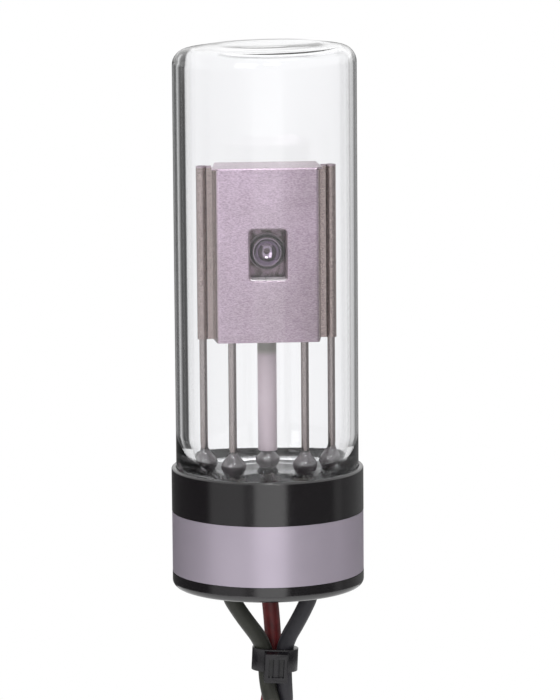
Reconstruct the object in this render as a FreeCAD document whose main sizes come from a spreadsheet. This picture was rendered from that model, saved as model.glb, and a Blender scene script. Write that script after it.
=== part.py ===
import FreeCAD, Part
import math
import os
import Sketcher

# Deuterium discharge lamp: a sealed glass bulb with a folded metal electrode box on five rods,
# set in a moulded collar with three flying leads. Millimetres, +Z up, the window faces -Y.
# The origin is on the axis, in the middle of the bare band by which the collar is clamped.

doc = FreeCAD.newDocument("deuterium_lamp")
sheet = doc.addObject("Spreadsheet::Sheet", "Sizes")

SIZES = {
    # bulb and stem
    "bulb_diameter": 28.5,
    "bulb_wall": 1.0,
    "bulb_rise": 66.0,
    "shoulder_radius": 3.5,
    "dish_radius": 8.0,
    "dish_depth": 0.5,
    "dish_spread": 1.02,
    "stem_recess": 0.3,
    "stem_thickness": 2.3,
    "flare_round": 1.25,
    "bead_radius": 1.9,
    "bead_height": 2.3,
    "bead_root": 0.4,
    "bead_neck": 0.22,
    "bead_bulge": 1.6,
    "bead_waist": 3.0,
    "bead_middle_rise": 0.45,
    "bead_middle_share": 0.55,
    "exhaust_setback": 7.2,
    "exhaust_radius": 2.1,
    "exhaust_length": 5.6,
    "exhaust_tip": 0.7,
    # collar
    "collar_wall": 0.65,
    "collar_height": 18.9,
    "rim_height": 3.5,
    "rim_round": 0.35,
    "foot_round": 1.1,
    "socket_depth": 3.9,
    "socket_clearance": 0.1,
    "cement_thickness": 0.5,
    "shoulder_width": 1.15,
    "collar_floor": 1.6,
    "hole_clearance": 0.45,
    "potting_height": 5.0,
    "potting_clearance": 0.12,
    "label_drop": 6.9,
    "label_height": 9.5,
    "label_film": 0.1,
    "label_recess": 0.12,
    "label_gap": 0.05,
    "label_wrap": 357.0,
    # rods and sleeve
    "rod_diameter": 1.2,
    "outer_rod_spacing": 20.0,
    "inner_rod_spacing": 11.1,
    "inner_rod_forward": 3.6,
    "anode_rod_setback": 2.0,
    "support_tail": 1.5,
    "contact_tail": 6.1,
    "sleeve_diameter": 3.0,
    "sleeve_bore": 1.5,
    "sleeve_entry": 3.0,
    # electrode box
    "box_lift": 20.25,
    "box_height": 27.05,
    "front_depth": 5.3,
    "rear_depth": 3.9,
    "face_width": 15.4,
    "rear_flare": 0.6,
    "side_slant": 0.67,
    "sheet_metal": 0.25,
    "bend_round": 0.3,
    "channel_clearance": 0.02,
    "flange_drop": 0.35,
    "flange_dip": 0.08,
    "flap_bend": 0.3,
    "flap_corner": 0.25,
    "flap_clearance": 0.1,
    "rod_top_gap": 0.4,
    "window_width": 5.8,
    "window_height": 8.0,
    "window_round": 0.6,
    "window_rise": 13.6,
    "window_land": 0.03,
    "shield_inset": 0.15,
    "shield_depth": 3.2,
    "shield_metal": 0.2,
    "shield_seam": 0.1,
    "seam_offset": 0.35,
    # electrodes
    "plate_thickness": 0.3,
    "plate_margin": 0.25,
    "cup_radius": 2.65,
    "cup_brim": 0.25,
    "cup_height": 1.4,
    "cup_lip": 0.6,
    "cup_round": 0.45,
    "cup_floor": 0.2,
    "cup_dish": 2.3,
    "aperture": 1.0,
    "plate_hole": 1.8,
    "insulator_width": 11.0,
    "insulator_height": 12.0,
    "insulator_thickness": 0.85,
    "insulator_hole": 3.4,
    "anode_width": 6.0,
    "anode_height": 8.0,
    "anode_thickness": 0.4,
    "coil_wire": 0.4,
    "coil_radius": 0.8,
    "coil_pitch": 1.0,
    "coil_turns": 6.0,
    "elbow_swell": 1.08,
    "cathode_leg": 2.4,
    "bridge_bend": 1.8,
    "bridge_drop": 4.6,
    "bridge_overrun": 1.0,
    # leads, splices, tie and terminals
    "lead_diameter": 2.6,
    "core_diameter": 1.0,
    "splice_wall": 0.35,
    "splice_web": 0.1,
    "splice_length": 5.0,
    "splice_gap": 1.4,
    "core_overlap": 4.8,
    "core_grip": 1.0,
    "bundle_middle": 0.78,
    "bundle_forward": 1.2,
    "bundle_gap": 0.04,
    "tie_height": 27.0,
    "tie_clearance": 0.3,
    "tie_thickness": 0.7,
    "tie_width": 3.0,
    "head_width": 3.6,
    "head_height": 3.85,
    "head_depth": 3.0,
    "head_sag": 0.6,
    "recess_width": 2.4,
    "recess_height": 2.5,
    "recess_depth": 1.1,
    "tail_thickness": 0.9,
    "tail_rise": 0.7,
    "barrel_diameter": 3.0,
    "barrel_length": 5.0,
    "barrel_end": 1.0,
    "fork_width": 6.0,
    "fork_length": 8.5,
    "fork_neck": 3.0,
    "fork_slot": 3.6,
    "fork_slot_depth": 5.5,
    "fork_thickness": 0.8,
    "fork_round": 1.0,
    # how far a cut reaches past what it goes through
    "cut_margin": 1.0,
}

for row, (alias, size) in enumerate(SIZES.items(), start=1):
    sheet.set(f"A{row}", alias.replace("_", " "))
    sheet.set(f"B{row}", str(size))
    sheet.setAlias(f"B{row}", alias)
doc.recompute()


# Places that several pieces share, as formulas on the sheet's sizes
def named(formula):
    """Put the sheet's name before each of its aliases in a formula."""
    words = formula.replace("(", " ( ").replace(")", " ) ").split()
    return " ".join("Sizes." + word if word in SIZES else word for word in words)


COLLAR_RADIUS = "bulb_diameter / 2 + socket_clearance + collar_wall"
COLLAR_BOTTOM = "rim_height - collar_height"
FLOOR_TOP = "rim_height - collar_height + collar_floor"
SHOULDER = "rim_height - socket_depth"
BULB_END = "rim_height - socket_depth + cement_thickness"
LABEL_TOP = "rim_height - label_drop"
STEM_TOP = "rim_height - stem_recess"
STEM_UNDER = "rim_height - stem_recess - stem_thickness"
BEAD_TOP = "rim_height - stem_recess + bead_height"
BULB_TOP = "rim_height + bulb_rise"
BULB_BORE = "bulb_diameter / 2 - bulb_wall"
BOX_BOTTOM = "rim_height + box_lift"
BOX_TOP = "rim_height + box_lift + box_height"
WINDOW = "rim_height + box_lift + window_rise"
ROD = "rod_diameter / 2"
CORE_OFFSET = "rod_diameter / 2 + splice_web + core_diameter / 2"
CONTACT_END = STEM_UNDER + " - contact_tail"
BRIDGE = BOX_TOP + " - bridge_drop"
FRONT_WIDTH = "face_width"
REAR_WIDTH = "( face_width + rear_flare )"
ROOT_HALF = "( face_width / 2 + side_slant )"


def size(formula):
    """Value of a formula on the sheet's sizes."""
    return float(sheet.evalExpression(named(formula).replace("Sizes.", "")))


def minus(formula):
    return "0 - ( " + formula + " )"


# Small helpers for bodies, sketches and features
def new_body(label):
    body = doc.addObject("PartDesign::Body", label)
    body.Label = label
    return body


def new_sketch(body, role, lift="0", across="0"):
    """Sketch on one of the body's own origin planes, moved along its normal and its first axis."""
    sketch = body.newObject("Sketcher::SketchObject", body.Name + "_sketch")
    plane = [item for item in body.Origin.OriginFeatures if item.Role == role][0]
    sketch.AttachmentSupport = [(plane, "")]
    sketch.MapMode = "FlatFace"
    sketch.setExpression("AttachmentOffset.Base.z", named(lift))
    sketch.setExpression("AttachmentOffset.Base.x", named(across))
    return sketch


def pin_point(sketch, line, end, across, up):
    """Tie one end of a sketch line to its place, given as two formulas."""
    for kind, axis, formula in (("DistanceX", -2, across), ("DistanceY", -1, up)):
        if abs(size(formula)) < 1e-9:
            sketch.addConstraint(Sketcher.Constraint("PointOnObject", line, end, axis))
            continue
        number = sketch.addConstraint(Sketcher.Constraint(kind, -1, 1, line, end, size(formula)))
        sketch.setExpression(f"Constraints[{number}]", named(formula))


def outline(sketch, points):
    """Closed outline. A point is (x, y), or (x, y, radius, side) when an arc leads to it;
    side is 1 for an arc that bulges to the left of the way round, -1 to the right."""
    places = [FreeCAD.Vector(size(point[0]), size(point[1]), 0) for point in points]
    lines = []
    for index, point in enumerate(points):
        start, end = places[index - 1], places[index]
        if len(point) == 2:
            lines.append((sketch.addGeometry(Part.LineSegment(start, end)), 1, 2))
            continue
        chord = end - start
        radius = size(point[2])
        rise = radius - math.sqrt(max(radius ** 2 - (chord.Length / 2) ** 2, 0.0))
        middle = (start + end) * 0.5
        middle += FreeCAD.Vector(-chord.y, chord.x, 0).normalize() * rise * point[3]
        if point[3] > 0:
            lines.append((sketch.addGeometry(Part.Arc(end, middle, start)), 2, 1))
        else:
            lines.append((sketch.addGeometry(Part.Arc(start, middle, end)), 1, 2))
    for index, (line, start_end, far_end) in enumerate(lines):
        before = lines[index - 1]
        sketch.addConstraint(Sketcher.Constraint("Coincident", before[0], before[2], line, start_end))
        pin_point(sketch, line, far_end, points[index][0], points[index][1])
        if len(points[index]) == 4 and abs(size(points[index][2]) * 2 - chord_of(sketch, line)) > 1e-6:
            number = sketch.addConstraint(Sketcher.Constraint("Radius", line, size(points[index][2])))
            sketch.setExpression(f"Constraints[{number}]", named(points[index][2]))


def chord_of(sketch, line):
    curve = sketch.Geometry[line]
    return (curve.EndPoint - curve.StartPoint).Length


def circle(sketch, across, up, radius):
    place = FreeCAD.Vector(size(across), size(up), 0)
    line = sketch.addGeometry(Part.Circle(place, FreeCAD.Vector(0, 0, 1), size(radius)))
    pin_point(sketch, line, 3, across, up)
    number = sketch.addConstraint(Sketcher.Constraint("Radius", line, size(radius)))
    sketch.setExpression(f"Constraints[{number}]", named(radius))


def pad(body, sketch, length, backwards=False, both_ways=False):
    feature = body.newObject("PartDesign::Pad", body.Name + "_pad")
    feature.Profile = sketch
    feature.setExpression("Length", named(length))
    feature.Reversed = backwards
    if both_ways:
        feature.SideType = "Symmetric"
    return feature


def cut_through(body, sketch, length, backwards=False, both_ways=False):
    """Pocket of a given depth; the cut has to take something away."""
    doc.recompute()
    before = body.Shape.Volume
    feature = body.newObject("PartDesign::Pocket", body.Name + "_pocket")
    feature.Profile = sketch
    feature.setExpression("Length", named(length))
    feature.Reversed = backwards
    if both_ways:
        feature.SideType = "Symmetric"
    doc.recompute()
    if not 1e-6 < body.Shape.Volume < before - 1e-6:
        raise ValueError("wrong cut in " + body.Label)
    return feature


def turn(body, sketch, angle="360"):
    """Revolution of a sketch about its own upright axis."""
    feature = body.newObject("PartDesign::Revolution", body.Name + "_turned")
    feature.Profile = sketch
    feature.ReferenceAxis = (sketch, ["V_Axis"])
    feature.setExpression("Angle", named(angle))
    return feature


def round_edges(body, base, wanted, radius):
    """Fillet of the edges of a feature that the test picks."""
    doc.recompute()
    names = [f"Edge{number}" for number, edge in enumerate(base.Shape.Edges, start=1) if wanted(edge)]
    feature = body.newObject("PartDesign::Fillet", body.Name + "_round")
    feature.Base = (base, names)
    feature.setExpression("Radius", named(radius))
    return feature


def place(item, across="0", back="0", up="0"):
    for axis, formula in (("x", across), ("y", back), ("z", up)):
        item.setExpression("Placement.Base." + axis, named(formula))
    return item


def upright(edge):
    """True for a straight edge that runs along Z."""
    if edge.Curve.TypeId != "Part::GeomLine":
        return False
    run = edge.Vertexes[-1].Point - edge.Vertexes[0].Point
    return abs(run.z) > 0.999 * run.Length


# The five rods: name, place across, place back, length of tail under the stem
OUTER = "outer_rod_spacing / 2"
INNER = "inner_rod_spacing / 2"
RODS = (
    ("outer_rod_left", minus(OUTER), "0"),
    ("inner_rod_left", minus(INNER), minus("inner_rod_forward")),
    ("anode_rod", "0", "anode_rod_setback"),
    ("inner_rod_right", INNER, minus("inner_rod_forward")),
    ("outer_rod_right", OUTER, "0"),
)


# Bulb: drawn tube with an almost flat, slightly dished top
def make_bulb():
    body = new_body("bulb")
    radius = "bulb_diameter / 2"
    flat = "bulb_diameter / 2 - shoulder_radius"
    sagitta = "( dish_radius * dish_radius + dish_depth * dish_depth ) * dish_spread / ( 2 * dish_depth )"
    section = new_sketch(body, "XZ_Plane")
    outline(section, (
        ("0", BULB_TOP + " - dish_depth - bulb_wall", sagitta, 1),
        ("0", BULB_TOP + " - dish_depth"),
        ("dish_radius", BULB_TOP, sagitta, -1),
        (flat, BULB_TOP),
        (radius, BULB_TOP + " - shoulder_radius", "shoulder_radius", 1),
        (radius, BULB_END),
        (BULB_BORE, BULB_END),
        (BULB_BORE, BULB_TOP + " - shoulder_radius"),
        (flat, BULB_TOP + " - bulb_wall", "shoulder_radius - bulb_wall", -1),
        ("dish_radius", BULB_TOP + " - bulb_wall"),
    ))
    turn(body, section)


# Stem: pressed glass disc, flared up the wall, with a drop of glass on each rod
def make_stem():
    body = new_body("stem")
    disc = new_sketch(body, "XZ_Plane")
    outline(disc, (
        ("0", STEM_UNDER),
        (BULB_BORE, STEM_UNDER),
        (BULB_BORE, STEM_TOP + " + flare_round"),
        (BULB_BORE + " - flare_round", STEM_TOP, "flare_round", 1),
        ("0", STEM_TOP),
    ))
    turn(body, disc)
    tip = new_sketch(body, "XZ_Plane", lift=minus("exhaust_setback"))
    outline(tip, (
        ("0", STEM_UNDER + " + stem_thickness / 2"),
        ("0", STEM_UNDER + " - exhaust_length"),
        ("exhaust_tip", STEM_UNDER + " - exhaust_length + exhaust_tip", "exhaust_tip", -1),
        ("exhaust_radius", STEM_UNDER + " - exhaust_length / 2"),
        ("exhaust_radius", STEM_UNDER + " + stem_thickness / 2"),
    ))
    turn(body, tip)
    for name, across, back in RODS:
        bead = new_sketch(body, "XZ_Plane", lift=minus(back), across=across)
        middle = STEM_TOP + " + bead_height * bead_middle_rise"
        outline(bead, (
            ("0", STEM_TOP + " - bead_root"),
            ("bead_radius", STEM_TOP + " - bead_root"),
            ("( bead_radius + rod_diameter / 2 ) * bead_middle_share", middle, "bead_bulge", -1),
            (ROD + " + bead_neck", BEAD_TOP, "bead_waist", 1),
            ("0", BEAD_TOP),
        ))
        turn(body, bead)
    for name, across, back in RODS:
        hole = new_sketch(body, "XY_Plane", lift=STEM_UNDER)
        circle(hole, across, back, ROD)
        cut_through(body, hole, "stem_thickness + bead_height", backwards=True)


# Collar: moulded cup with a socket for the bulb, a recess for the label and three lead holes
def make_collar():
    body = new_body("base_collar")
    radius = COLLAR_RADIUS
    bore = "bulb_diameter / 2 + socket_clearance"
    cup = new_sketch(body, "XZ_Plane")
    outline(cup, (
        ("0", COLLAR_BOTTOM),
        (radius + " - foot_round", COLLAR_BOTTOM),
        (radius, COLLAR_BOTTOM + " + foot_round", "foot_round", -1),
        (radius, LABEL_TOP + " - label_height - label_gap"),
        (radius + " - label_recess", LABEL_TOP + " - label_height - label_gap"),
        (radius + " - label_recess", LABEL_TOP + " + label_gap"),
        (radius, LABEL_TOP + " + label_gap"),
        (radius, "rim_height - rim_round"),
        (radius + " - rim_round", "rim_height", "rim_round", -1),
        (bore, "rim_height"),
        (bore, SHOULDER),
        (bore + " - shoulder_width", SHOULDER),
        (bore + " - shoulder_width", FLOOR_TOP),
        ("0", FLOOR_TOP),
    ))
    turn(body, cup)
    holes = new_sketch(body, "XY_Plane", lift=COLLAR_BOTTOM + " - cut_margin")
    for across, back in LEAD_PLACES:
        circle(holes, across, back, "lead_diameter / 2 + hole_clearance")
    cut_through(body, holes, "collar_floor + 2 * cut_margin", backwards=True)


# Leads leave beside the three contact rods, each on the far side of its splice
LEAD_PLACES = (
    (minus(INNER + " + " + CORE_OFFSET), minus("inner_rod_forward")),
    ("0", "anode_rod_setback - ( " + CORE_OFFSET + " )"),
    (INNER + " + " + CORE_OFFSET, minus("inner_rod_forward")),
)


# Cement: ring between the bulb's end and the collar's shoulder
def make_cement():
    body = new_body("cement_ring")
    ring = new_sketch(body, "XY_Plane", lift=SHOULDER)
    circle(ring, "0", "0", "bulb_diameter / 2 + socket_clearance")
    circle(ring, "0", "0", "bulb_diameter / 2 + socket_clearance - shoulder_width")
    pad(body, ring, "cement_thickness")


# Potting: cast resin plug that holds the leads in the collar
def make_potting():
    body = new_body("potting_plug")
    plug = new_sketch(body, "XY_Plane", lift=FLOOR_TOP)
    circle(plug, "0", "0", "bulb_diameter / 2 + socket_clearance - shoulder_width")
    for across, back in LEAD_PLACES:
        circle(plug, across, back, "lead_diameter / 2 + potting_clearance")
    pad(body, plug, "potting_height")


# Label: bare film wrapped round the collar in a shallow recess, its ends meeting at the back
def make_label():
    body = new_body("label_band")
    film = new_sketch(body, "XZ_Plane")
    radius = COLLAR_RADIUS + " - label_recess"
    outline(film, (
        (radius, LABEL_TOP),
        (radius, LABEL_TOP + " - label_height"),
        (radius + " + label_film", LABEL_TOP + " - label_height"),
        (radius + " + label_film", LABEL_TOP),
    ))
    turn(body, film, "label_wrap")
    body.Placement.Rotation = FreeCAD.Rotation(FreeCAD.Vector(0, 0, 1), 90)
    body.setExpression("Placement.Rotation.Angle", "90 + ( 360 - Sizes.label_wrap ) / 2")


# Straight rods: two supports that end in the box's channels, the anode rod and the short contact rod
def make_rod(label, across, back, bottom, top):
    rod = doc.addObject("Part::Cylinder", label)
    rod.Label = label
    rod.setExpression("Radius", named(ROD))
    rod.setExpression("Height", named("( " + top + " ) - ( " + bottom + " )"))
    place(rod, across, back, bottom)


def make_rods():
    support_end = STEM_UNDER + " - support_tail"
    support_top = BOX_TOP + " - flange_drop - rod_top_gap"
    make_rod("outer_rod_left", *RODS[0][1:], support_end, support_top)
    make_rod("outer_rod_right", *RODS[4][1:], support_end, support_top)
    make_rod("anode_rod", *RODS[2][1:], CONTACT_END, WINDOW + " + anode_height / 2")
    make_rod("inner_rod_right", *RODS[3][1:], CONTACT_END, COIL_BOTTOM + " - cathode_leg")


COIL_BOTTOM = WINDOW + " - coil_pitch * coil_turns / 2"
COIL_TOP = WINDOW + " + coil_pitch * coil_turns / 2"


# Left contact rod: bent over at the top, as a bridge to the upper end of the cathode
def make_bent_rod():
    body = new_body("inner_rod_left")
    path = new_sketch(body, "XZ_Plane", lift="inner_rod_forward")
    left = minus(INNER)
    foot = FreeCAD.Vector(size(left), size(CONTACT_END), 0)
    bend = FreeCAD.Vector(size(left), size(BRIDGE + " - bridge_bend"), 0)
    across = FreeCAD.Vector(size(left + " + bridge_bend"), size(BRIDGE), 0)
    tip = FreeCAD.Vector(size(INNER + " + bridge_overrun"), size(BRIDGE), 0)
    middle = FreeCAD.Vector(across.x, bend.y, 0)
    middle += FreeCAD.Vector(-1, 1, 0).normalize() * size("bridge_bend")
    path.addGeometry(Part.LineSegment(foot, bend))
    path.addGeometry(Part.Arc(across, middle, bend))
    path.addGeometry(Part.LineSegment(across, tip))
    path.addConstraint(Sketcher.Constraint("Tangent", 0, 2, 1, 2))
    path.addConstraint(Sketcher.Constraint("Tangent", 1, 1, 2, 1))
    pin_point(path, 0, 1, left, CONTACT_END)
    pin_point(path, 0, 2, left, BRIDGE + " - bridge_bend")
    pin_point(path, 2, 2, INNER + " + bridge_overrun", BRIDGE)
    section = new_sketch(body, "XY_Plane", lift=CONTACT_END)
    circle(section, left, minus("inner_rod_forward"), ROD)
    doc.recompute()
    pipe = body.newObject("PartDesign::AdditivePipe", "inner_rod_left_pipe")
    pipe.Profile = section
    pipe.Spine = (path, ["Edge1", "Edge2", "Edge3"])


# Ceramic sleeve: keeps the discharge off the anode rod between the stem and the box
def make_sleeve():
    body = new_body("ceramic_sleeve")
    tube = new_sketch(body, "XY_Plane", lift=BEAD_TOP)
    circle(tube, "0", "anode_rod_setback", "sleeve_diameter / 2")
    circle(tube, "0", "anode_rod_setback", "sleeve_bore / 2")
    pad(body, tube, "( " + BOX_BOTTOM + " + sleeve_entry ) - ( " + BEAD_TOP + " )")


# Box covers: folded hat sections whose flanges are rolled half round each outer rod
def fold_cover(body, side, width, face):
    """Side is -1 for the front, 1 for the rear. Face is how far the flat face stands from the rods.
    The walls end under the top flap, and the flanges beside it rise a little higher."""
    def out(formula):
        return formula if side > 0 else minus(formula)

    half, root = width + " / 2", ROOT_HALF
    bottom, height = BOX_BOTTOM, "box_height - flange_dip"
    seat = "plate_thickness / 2"
    inner = face + " - sheet_metal"
    ridge = seat + " + sheet_metal"
    hat = new_sketch(body, "XY_Plane", lift=bottom)
    outline(hat, (
        (half, out(face)),
        (root, out(ridge)),
        (OUTER, out(ridge)),
        (OUTER, out(seat)),
        (root + " - sheet_metal", out(seat)),
        (half + " - sheet_metal", out(inner)),
        (minus(half + " - sheet_metal"), out(inner)),
        (minus(root + " - sheet_metal"), out(seat)),
        (minus(OUTER), out(seat)),
        (minus(OUTER), out(ridge)),
        (minus(root), out(ridge)),
        (minus(half), out(face)),
    ))
    folded = pad(body, hat, height)
    corner = size(half) * 0.9
    folded = round_edges(
        body, folded,
        lambda edge: upright(edge) and abs(edge.Vertexes[0].X) > corner
        and abs(edge.Vertexes[0].Y) > size(face) * 0.99,
        "bend_round + sheet_metal")
    rolled = new_sketch(body, "XY_Plane", lift=bottom)
    for across in (OUTER, minus(OUTER)):
        circle(rolled, across, "0", ROD + " + channel_clearance + sheet_metal")
    pad(body, rolled, height)
    hollow = new_sketch(body, "XY_Plane", lift=bottom)
    for across in (OUTER, minus(OUTER)):
        circle(hollow, across, "0", ROD + " + channel_clearance")
    cut_through(body, hollow, height, backwards=True)
    other_half = new_sketch(body, "XY_Plane", lift=bottom)
    outline(other_half, (
        ("outer_rod_spacing", out(seat)),
        ("outer_rod_spacing", minus(out("outer_rod_spacing"))),
        (minus("outer_rod_spacing"), minus(out("outer_rod_spacing"))),
        (minus("outer_rod_spacing"), out(seat)),
    ))
    cut_through(body, other_half, height, backwards=True)
    notch = new_sketch(body, "XY_Plane", lift=BOX_TOP + " - flange_drop")
    reach = ROOT_HALF + " + flap_clearance"
    outline(notch, (
        (reach, out(face + " + cut_margin")),
        (reach, "0"),
        (minus(reach), "0"),
        (minus(reach), out(face + " + cut_margin")),
    ))
    cut_through(body, notch, "flange_drop", backwards=True)


# Front cover: the folded face with its window, and a top flap that lies over the whole box
def make_front_cover():
    body = new_body("front_cover")
    fold_cover(body, -1, FRONT_WIDTH, "front_depth")
    low = BOX_TOP + " - flange_drop"
    bend_start = minus("front_depth - flap_bend")
    fold = new_sketch(body, "YZ_Plane")
    outline(fold, (
        (minus("front_depth"), low),
        (minus("front_depth"), BOX_TOP + " - flap_bend"),
        (bend_start, BOX_TOP, "flap_bend", 1),
        ("rear_depth", BOX_TOP),
        ("rear_depth", BOX_TOP + " - sheet_metal"),
        (bend_start, BOX_TOP + " - sheet_metal"),
        (minus("front_depth - sheet_metal"), BOX_TOP + " - flap_bend", "flap_bend - sheet_metal", -1),
        (minus("front_depth - sheet_metal"), low),
    ))
    pad(body, fold, ROOT_HALF + " * 2", both_ways=True)
    trim = new_sketch(body, "XY_Plane", lift=low)
    near, far = "( " + FRONT_WIDTH + " / 2 - flap_corner )", REAR_WIDTH + " / 2"
    past = "( " + ROOT_HALF + " + flap_clearance / 2 )"
    for side in ("1", "-1"):
        outline(trim, (
            (near + " * " + side, minus("front_depth")),
            (near + " * " + side, bend_start),
            (ROOT_HALF + " * " + side, bend_start + " + flap_bend"),
            (far + " * " + side, "rear_depth"),
            (past + " * " + side, "rear_depth"),
            (past + " * " + side, minus("front_depth")),
        ))
    cut_through(body, trim, "flange_drop", backwards=True)
    window = new_sketch(body, "XZ_Plane", lift="front_depth")
    rounded_window(window, "window_width / 2", "window_height / 2", "window_round")
    opening = cut_through(body, window, "sheet_metal * 2", both_ways=True)
    round_edges(body, opening, borders_window, "sheet_metal - window_land")


def borders_window(edge):
    """True for an edge of the window on the cover's outer face."""
    reach = (size("window_width") / 2, size("front_depth"), size("window_height") / 2)
    places = [vertex.Point - FreeCAD.Vector(0, 0, size(WINDOW)) for vertex in edge.Vertexes]
    return all(
        abs(place.y + reach[1]) < 1e-4 and abs(place.x) < reach[0] + 1e-4 and abs(place.z) < reach[2] + 1e-4
        for place in places)


def rounded_window(sketch, half, tall, corner):
    """Rectangle with round corners about the window's centre, from half its width and height."""
    middle, half, tall = WINDOW, "( " + half + " )", "( " + tall + " )"
    corner = "( " + corner + " )"
    outline(sketch, (
        (half + " - " + corner, middle + " + " + tall),
        (half, middle + " + " + tall + " - " + corner, corner, 1),
        (half, middle + " - " + tall + " + " + corner),
        (half + " - " + corner, middle + " - " + tall, corner, 1),
        (minus(half + " - " + corner), middle + " - " + tall),
        (minus(half), middle + " - " + tall + " + " + corner, corner, 1),
        (minus(half), middle + " + " + tall + " - " + corner),
        (minus(half + " - " + corner), middle + " + " + tall, corner, 1),
    ))


# Rear cover: the same fold without a window, under the front cover's flap
def make_rear_cover():
    body = new_body("rear_cover")
    fold_cover(body, 1, REAR_WIDTH, "rear_depth")


# Window shield: sleeve folded from a strip behind the window, its ends meeting in the floor.
# It keeps sputtered metal off the glass.
def make_window_shield():
    body = new_body("window_shield")
    half = "window_width / 2 - shield_inset"
    tall = "window_height / 2 - shield_inset"
    front = "front_depth - sheet_metal"
    sleeve = new_sketch(body, "XZ_Plane", lift=front)
    inner_round = "window_round - shield_inset"
    rounded_window(sleeve, half + " + shield_metal", tall + " + shield_metal", inner_round + " + shield_metal")
    rounded_window(sleeve, half, tall, inner_round)
    pad(body, sleeve, "shield_depth", backwards=True)
    seam = new_sketch(body, "XZ_Plane", lift=front)
    left, right = minus("seam_offset + shield_seam / 2"), minus("seam_offset - shield_seam / 2")
    floor = WINDOW + " - ( " + tall + " )"
    outline(seam, (
        (right, floor + " - 2 * shield_metal"),
        (right, floor + " + shield_metal"),
        (left, floor + " + shield_metal"),
        (left, floor + " - 2 * shield_metal"),
    ))
    cut_through(body, seam, "shield_depth")


# Aperture plate: partition clamped between the two covers, holed behind the cup
def make_aperture_plate():
    body = new_body("aperture_plate")
    wall = new_sketch(body, "XZ_Plane", lift=minus("plate_thickness / 2"))
    edge = "outer_rod_spacing / 2 - rod_diameter / 2 - channel_clearance - plate_margin"
    low, high = BOX_BOTTOM, BOX_TOP + " - flange_drop"
    outline(wall, (
        (edge, low),
        (edge, high),
        (minus(edge), high),
        (minus(edge), low),
    ))
    circle(wall, "0", WINDOW, "plate_hole / 2")
    pad(body, wall, "plate_thickness")


# Aperture cup: turned, with a round lip and a spherical dish round the 1 mm hole that squeezes the arc
def make_aperture_cup():
    body = new_body("aperture_cup")
    dish = new_sketch(body, "XY_Plane")
    seat = "plate_thickness / 2"
    hole = "aperture / 2"
    outline(dish, (
        (hole, minus(seat)),
        ("cup_radius + cup_brim", minus(seat)),
        ("cup_radius + cup_brim", minus(seat + " + cup_floor")),
        ("cup_radius", minus(seat + " + cup_floor")),
        ("cup_radius", minus(seat + " + cup_height - cup_round")),
        ("cup_radius - cup_round", minus(seat + " + cup_height"), "cup_round", 1),
        ("cup_radius - cup_lip", minus(seat + " + cup_height")),
        (hole, minus(seat + " + cup_floor"), "cup_dish", -1),
    ))
    turn(body, dish)
    place(body, up=WINDOW)


# Anode insulator: fired ceramic tile between the aperture plate and the anode
def make_insulator():
    body = new_body("anode_insulator")
    tile = new_sketch(body, "XZ_Plane", lift=minus("plate_thickness / 2 + insulator_thickness"))
    outline(tile, (
        ("insulator_width / 2", WINDOW + " - insulator_height / 2"),
        ("insulator_width / 2", WINDOW + " + insulator_height / 2"),
        (minus("insulator_width / 2"), WINDOW + " + insulator_height / 2"),
        (minus("insulator_width / 2"), WINDOW + " - insulator_height / 2"),
    ))
    circle(tile, "0", WINDOW, "insulator_hole / 2")
    pad(body, tile, "insulator_thickness")


# Anode: metal plate welded to the front of the anode rod
def make_anode():
    anode = doc.addObject("Part::Box", "anode_plate")
    anode.Label = "anode_plate"
    anode.setExpression("Length", named("anode_width"))
    anode.setExpression("Width", named("anode_thickness"))
    anode.setExpression("Height", named("anode_height"))
    front = "anode_rod_setback - rod_diameter / 2 - anode_thickness"
    place(anode, minus("anode_width / 2"), front, WINDOW + " - anode_height / 2")


# Cathode: coiled filament with two straight legs, between the right rod's end and the bridge
def make_cathode():
    wire = size("coil_wire") / 2
    radius = size("coil_radius")
    low, high = size(COIL_BOTTOM), size(COIL_TOP)
    helix = Part.makeHelix(size("coil_pitch"), high - low, radius)
    foot = FreeCAD.Vector(radius, 0, 0)
    head = FreeCAD.Vector(radius, 0, high - low)
    leg = FreeCAD.Vector(0, 0, size("cathode_leg"))
    section = Part.Wire([Part.makeCircle(wire, foot, FreeCAD.Vector(0, 1, 0))])
    coil = Part.Wire(helix.Edges).makePipeShell([section], True, True)
    elbow = wire * size("elbow_swell")
    rest = [
        Part.makeSphere(elbow, foot),
        Part.makeSphere(elbow, head),
        Part.makeCylinder(wire, leg.Length, foot - leg),
        Part.makeCylinder(wire, size(BRIDGE) - size(ROD) - high, head),
    ]
    cathode = doc.addObject("Part::Feature", "cathode_coil")
    cathode.Label = "cathode_coil"
    cathode.Shape = coil.fuse(rest)
    cathode.Placement.Base = FreeCAD.Vector(size(INNER) - radius, -size("inner_rod_forward"), low)


# Splices: crimped barrels that hold a rod's tail and a lead's core side by side
def make_splices():
    turns = (("splice_left", RODS[1], 180), ("splice_anode", RODS[2], -90), ("splice_right", RODS[3], 0))
    for label, rod, angle in turns:
        body = new_body(label)
        around = ROD + " + splice_wall"
        barrel = new_sketch(body, "XY_Plane")
        outline(barrel, (
            ("0", minus(around), around, -1),
            (CORE_OFFSET, minus(around)),
            (CORE_OFFSET, around, around, -1),
            ("0", around),
        ))
        circle(barrel, "0", "0", ROD)
        circle(barrel, CORE_OFFSET, "0", "core_diameter / 2")
        pad(body, barrel, "splice_length")
        place(body, rod[1], rod[2], CONTACT_END + " - splice_gap")
        body.Placement.Rotation = FreeCAD.Rotation(FreeCAD.Vector(0, 0, 1), angle)


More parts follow.
